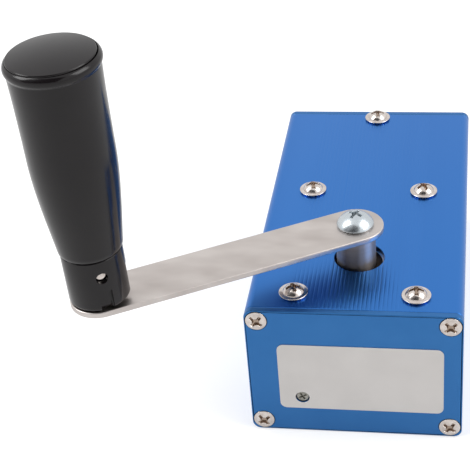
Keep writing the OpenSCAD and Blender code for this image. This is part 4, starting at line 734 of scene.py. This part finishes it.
crankScrew = {
    "domeR": 5.44, "domeH": 3.2, "domeZ": 0.8,
    "under": [(5.5, 0.7), (5.5, 0.5), (5.15, 0.05), (5.05, 0), (0, 0)],
    "recess": {"width": 4.2, "arm": 1.0, "core": 1.2, "wall": 0.3, "depth": 2.0, "slope": 0.5},
    "shankTop": 0.1, "shankEnd": -11.8, "shankR": 2.5, "pitch": 0.8, "threadDepth": 0.4}
screwSet("crankScrew", crankScrew, [((0, 0, crank["armZ"] + crank["armT"]), 35)],
         onCrank, zincPlate, "crank", "zinc_plate", "crank_screw")
print("crank made")

# Handle: turned shapes in the handle's own frame, +Z up from the arm and leaning out a little
handle = {"hingeZ": 68.3, "pinH": 11.5, "lean": 1.8, "sides": 128}
onHandle = (onCrank @ Matrix.Translation((crank["reach"], 0, handle["hingeZ"]))
            @ Matrix.Rotation(np.radians(handle["lean"]), 4, "Y")
            @ Matrix.Translation((0, 0, -handle["pinH"])))

grip = {
    "bottom": 17.1, "top": 76.3, "edgeR": 8.8, "footR": 9.15, "bellyR": 11.9, "neckR": 12.1,
    "bellyAt": 0.52, "neckAt": 0.82, "footWiden": 0.12, "neckWiden": 0.02, "neckOut": 0.22,
    "rimR": 12.9, "rimRound": 2.0, "rimFrom": 38, "rimBlend": 0.8, "seatR": 11.95, "seatZ": 74.1,
    "recessR": 9.0, "floorZ": 68.8, "boreR": 4.55, "neckBoreR": 6.8, "neckBoreZ": 21.2}


def bend(a, b, c, d, steps):
    # Cubic curve: the four points weighed by the powers of t and of one minus t.
    t = np.linspace(0, 1, steps + 1)[:, None]
    a, b, c, d = (np.asarray(p, float) for p in (a, b, c, d))
    return a * (1 - t) ** 3 + 3 * b * t * (1 - t) ** 2 + 3 * c * t ** 2 * (1 - t) + d * t ** 3


def gripProfile():
    # Outside from the foot up over the rim, then down the cap's seat and the bore, and back.
    g = grip
    length = g["top"] - g["bottom"]
    foot = np.array([g["footR"], g["bottom"] + 2 * (g["footR"] - g["edgeR"])])
    belly = np.array([g["bellyR"], g["bottom"] + length * g["bellyAt"]])
    neck = np.array([g["neckR"], g["bottom"] + length * g["neckAt"]])
    lower, upper = (belly - foot)[1] / 3, (neck - belly)[1] / 3
    rimMid = np.array([g["rimR"] - g["rimRound"], g["top"] - g["rimRound"]])
    lip = np.degrees(np.arccos((g["seatR"] + 0.1 - rimMid[0]) / g["rimRound"]))
    flare = arc(rimMid, g["rimRound"], -g["rimFrom"], lip, 16)
    ahead = np.array([np.sin(np.radians(g["rimFrom"])), np.cos(np.radians(g["rimFrom"]))])
    under = neck + (g["neckOut"], flare[0, 1] - g["rimBlend"] - neck[1])
    return np.vstack([
        [(g["edgeR"] - 0.15, g["bottom"]), (g["edgeR"], g["bottom"] + 0.1)],
        bend(foot, foot + (lower * g["footWiden"], lower), belly - (0, lower), belly, 30),
        bend(belly, belly + (0, upper), neck - (upper * g["neckWiden"], upper), neck, 20)[1:],
        bend(under, under + (0, g["rimBlend"] / 2), flare[0] - ahead * g["rimBlend"] / 3, flare[0], 8),
        flare[1:],
        [(g["seatR"], rimMid[1] + 1.55), (g["seatR"], g["seatZ"]), (g["recessR"], g["seatZ"]),
         (g["recessR"], g["floorZ"]), (g["boreR"], g["floorZ"]), (g["boreR"], g["neckBoreZ"]),
         (g["neckBoreR"], g["neckBoreZ"]), (g["neckBoreR"], g["bottom"])]])


barrel = moved(turned(gripProfile(), handle["sides"], True), onHandle)
gripPiece = meshObject("gripBarrel", [barrel], blackPhenolic)
standIn(gripPiece, "grip", "black_moulding", "grip")

# The cap sits pushed to one side, within its play in the grip's recess.
cap = {"seatZ": 74.1, "radius": 11.78, "edgeZ": 76.4, "crown": 1.1, "soft": 0.3, "crownInset": 0.6,
       "bevel": 0.1, "skirtR": 8.8, "skirtIn": 7.78, "skirtZ": 72.1, "play": 0.13}
c = cap
profile = np.vstack([
    dome(c["radius"] - c["soft"] * c["crownInset"], c["crown"], c["edgeZ"], 24),
    arc((c["radius"] - c["soft"], c["edgeZ"] - c["soft"]), c["soft"], 60, 0, 4),
    [(c["radius"], c["seatZ"] + c["bevel"]), (c["radius"] - c["bevel"], c["seatZ"]),
     (c["skirtR"], c["seatZ"]), (c["skirtR"], c["skirtZ"]), (c["skirtIn"], c["skirtZ"]),
     (c["skirtIn"], c["seatZ"]), (0, c["seatZ"])]])
carry = onHandle @ Matrix.Translation((c["play"], 0, 0))
gripCap = meshObject("gripCap", [moved(turned(profile, handle["sides"]), carry)], blackPhenolic)
standIn(gripCap, "grip", "black_moulding", "grip_cap")

# The sleeve: a cup with a slot for the hinge, pin holes, and a notch and slit at its foot.
sleeve = {
    "radius": 8.75, "bottom": 0.55, "footR": 1.2, "top": 16.9, "topEdge": 0.25, "neckR": 6.5,
    "neckTop": 20.9, "seatR": 4.52, "shoulderZ": 19.3, "rodR": 2.2, "cavityTop": 18.1, "boreR": 5.4,
    "slotHalf": 3.4, "slotTop": 10.6, "pinHoleR": 1.7, "lift": 5.0, "gap": 0.3, "under": -1,
    "notchX": -2.1, "notchY": 6.6, "notchW": 3.8, "notchH": 2.0, "slitW": 1.0, "slitY": 7.35,
    "slitH": 6.4, "deep": 3.0, "channelHalf": 1.72, "channelR": 7.2, "channelLow": 4.7}


def clearEdge(steps=24):
    # Path of the sleeve's edge that just clears the arm: the envelope of the arm's plane as the
    # handle folds by a and the sleeve rises in proportion to a.
    a = np.radians(np.linspace(0, 60, steps + 1))
    rate = sleeve["lift"] / (np.pi / 2)
    rise = rate * (a + np.radians(handle["lean"]))
    s = handle["pinH"] - sleeve["gap"] + rise * np.cos(a)
    slope = rate * np.cos(a) - rise * np.sin(a)
    return np.column_stack([s * np.sin(a) + slope * np.cos(a), s * np.cos(a) - slope * np.sin(a)])


def block(low, high):
    # A box between two corners, as a plate with bare edges.
    low, high = np.array(low, float), np.array(high, float)
    loop = np.array([(low[0], low[1]), (high[0], low[1]), (high[0], high[1]), (low[0], high[1])])
    return plate((loop, [(0, low[2]), (0, high[2])]))


s = sleeve
profile = np.vstack([
    arc((s["radius"] - s["footR"], s["bottom"] + s["footR"]), s["footR"], -90, 0, 8),
    arc((s["radius"] - s["topEdge"], s["top"] - s["topEdge"]), s["topEdge"], 0, 90, 5),
    [(s["neckR"], s["top"]), (s["neckR"], s["neckTop"]), (s["seatR"], s["neckTop"]),
     (s["seatR"], s["shoulderZ"]), (s["rodR"], s["shoulderZ"]), (s["rodR"], s["cavityTop"]),
     (s["boreR"], s["cavityTop"]), (s["boreR"], s["bottom"])]])
lockSleeve = meshObject("lockSleeve", [turned(profile, handle["sides"], True)], blackPhenolic)
# The wedge below the clear edge is cut away, from that edge out past the sleeve.
edge = clearEdge()
far = s["radius"] * 2
wedge = np.column_stack([-edge[:, 0], handle["pinH"] - edge[:, 1]])
wedge = np.vstack([wedge, [(wedge[-1, 0] - far, wedge[-1, 1]), (wedge[-1, 0] - far, -far),
                           (wedge[0, 0], -far)]])
if np.sum(wedge[:, 0] * np.roll(wedge[:, 1], -1) - wedge[:, 1] * np.roll(wedge[:, 0], -1)) < 0:
    wedge = wedge[::-1]  # A negative area means that the loop runs clockwise.
bore = turned([(0, -far), (s["pinHoleR"], -far), (s["pinHoleR"], far), (0, far)], 40)
acrossHandle = Matrix.Translation((0, 0, handle["pinH"])) @ Matrix.Rotation(np.radians(90), 4, "X")
cuts = {
    "hingeSlot": block((-far, -s["slotHalf"], s["under"]), (0, s["slotHalf"], s["slotTop"])),
    "foldWedge": moved(plate((wedge, [(0, -far), (0, far)])), sideToSide),
    "pinHoles": moved(bore, acrossHandle),
    "footNotch": block((s["notchX"] + s["slitW"] / 2, s["notchY"], s["under"]),
                       (s["notchX"] + s["notchW"], s["notchY"] + s["deep"], s["bottom"] + s["notchH"])),
    "footSlit": block((s["notchX"], s["slitY"], s["under"]),
                      (s["notchX"] + s["slitW"], s["slitY"] + s["deep"], s["bottom"] + s["slitH"])),
    "pinChannel": block((-s["channelHalf"], -s["channelR"], s["channelLow"]),
                        (s["channelHalf"], s["channelR"], handle["pinH"])),
}
for name, cut in cuts.items():
    carve(lockSleeve, meshObject(name, [cut], blackPhenolic))
toMillimetres, toMetres = Matrix.Diagonal((1000, 1000, 1000, 1)), Matrix.Diagonal((0.001, 0.001, 0.001, 1))
lockSleeve.data.transform(toMillimetres)
lockSleeve.data.transform(toMetres @ onHandle)
standIn(lockSleeve, "sleeve", "black_moulding", "lock_sleeve")

# Hinge pin with dished ends that catch the light, and the coil that presses the sleeve down
pin = {"radius": 1.5, "half": 6.9, "dishR": 1.38, "dish": 0.2, "edge": 0.08, "rings": 10, "sides": 40}
r = np.linspace(0, 1, pin["rings"] + 1)[:, None] * pin["dishR"]
# The dish is a parabola: its depth falls with the square of the radius.
ends = np.hstack([r, pin["half"] - pin["dish"] * (1 - (r / pin["dishR"]) ** 2)])
ends = np.vstack([ends, [(pin["radius"] - pin["edge"], pin["half"]),
                         (pin["radius"], pin["half"] - pin["edge"])]])
shell = turned(np.vstack([ends, (ends * (1, -1))[::-1]]), pin["sides"])
hingePin = meshObject("hingePin", [moved(shell, onHandle @ acrossHandle)], nickelPlate, 60.0)
standIn(hingePin, "handle_rod", "nickel_screws", "hinge_pin")

spring = {"low": 19.3, "high": 41.3, "coilR": 2.9, "wireR": 0.38, "turns": 9, "closedShare": 0.09,
          "endRise": 0.8, "perTurn": 28, "keep": 17 / 22}
t = np.linspace(0, 1, spring["turns"] * spring["perTurn"] + 1)
# Height along the coil: flat at both closed ends, even between them.
rise = np.clip((t - spring["closedShare"]) / (1 - 2 * spring["closedShare"]), 0, 1)
low, high = spring["low"] + spring["wireR"], spring["high"] - spring["wireR"]
angle = 2 * np.pi * spring["turns"] * t
ramp = np.clip(t / spring["closedShare"], 0, 1) + np.clip((t - 1) / spring["closedShare"] + 1, 0, 1)
height = low + spring["endRise"] * ramp + (high - low - 2 * spring["endRise"]) * rise
coil = np.column_stack([spring["coilR"] * np.cos(angle), spring["coilR"] * np.sin(angle), height])
wire = moved(tube(coil, spring["wireR"], (0, 0, 1), 8), onHandle)
lockSpring = meshObject("lockSpring", [wire], drawnSteel, 60.0)
standIn(lockSpring, "sleeve", "turned_steel", "lock_spring")
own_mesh(lockSpring)
print("handle made")

# Trimmer screw: its head fills the hole in the plate, on a thin stem from the trimmer
t = trimmer
headEnd, stemEnd = t["headFront"] - t["headBack"], t["headFront"] - t["stemBack"]
rings = np.linspace(t["ringsFrom"], t["ringsTo"], t["rings"]) * t["headR"]
head = np.vstack([[(0, 0)], np.column_stack([rings, np.zeros(t["rings"])]),
                  arc((t["headR"] - t["edge"], -t["edge"]), t["edge"], 90, 0, 4),
                  [(t["headR"], headEnd), (t["stemR"], headEnd), (t["stemR"], stemEnd), (0, stemEnd)]])
sides = 96
points, faces = turned(head, sides)
sunk = {"turn": 30, "width": 2.6, "arm": 0.55, "core": 0.4, "wall": 0.15, "depth": 0.6, "slope": 0.1}
face = (t["rings"] + 1) * sides
points[:face] = pressCross(points[:face], sunk)
carry = Matrix.Translation((t["x"], t["headFront"], t["z"])) @ outFront
trimmerScrew = meshObject("trimmerScrew", [moved((points, faces), carry)], blackenedScrew, 50.0)
standIn(trimmerScrew, "trimmer", "tinned_shell", "trimmer_screw")
print("trimmer screw made")
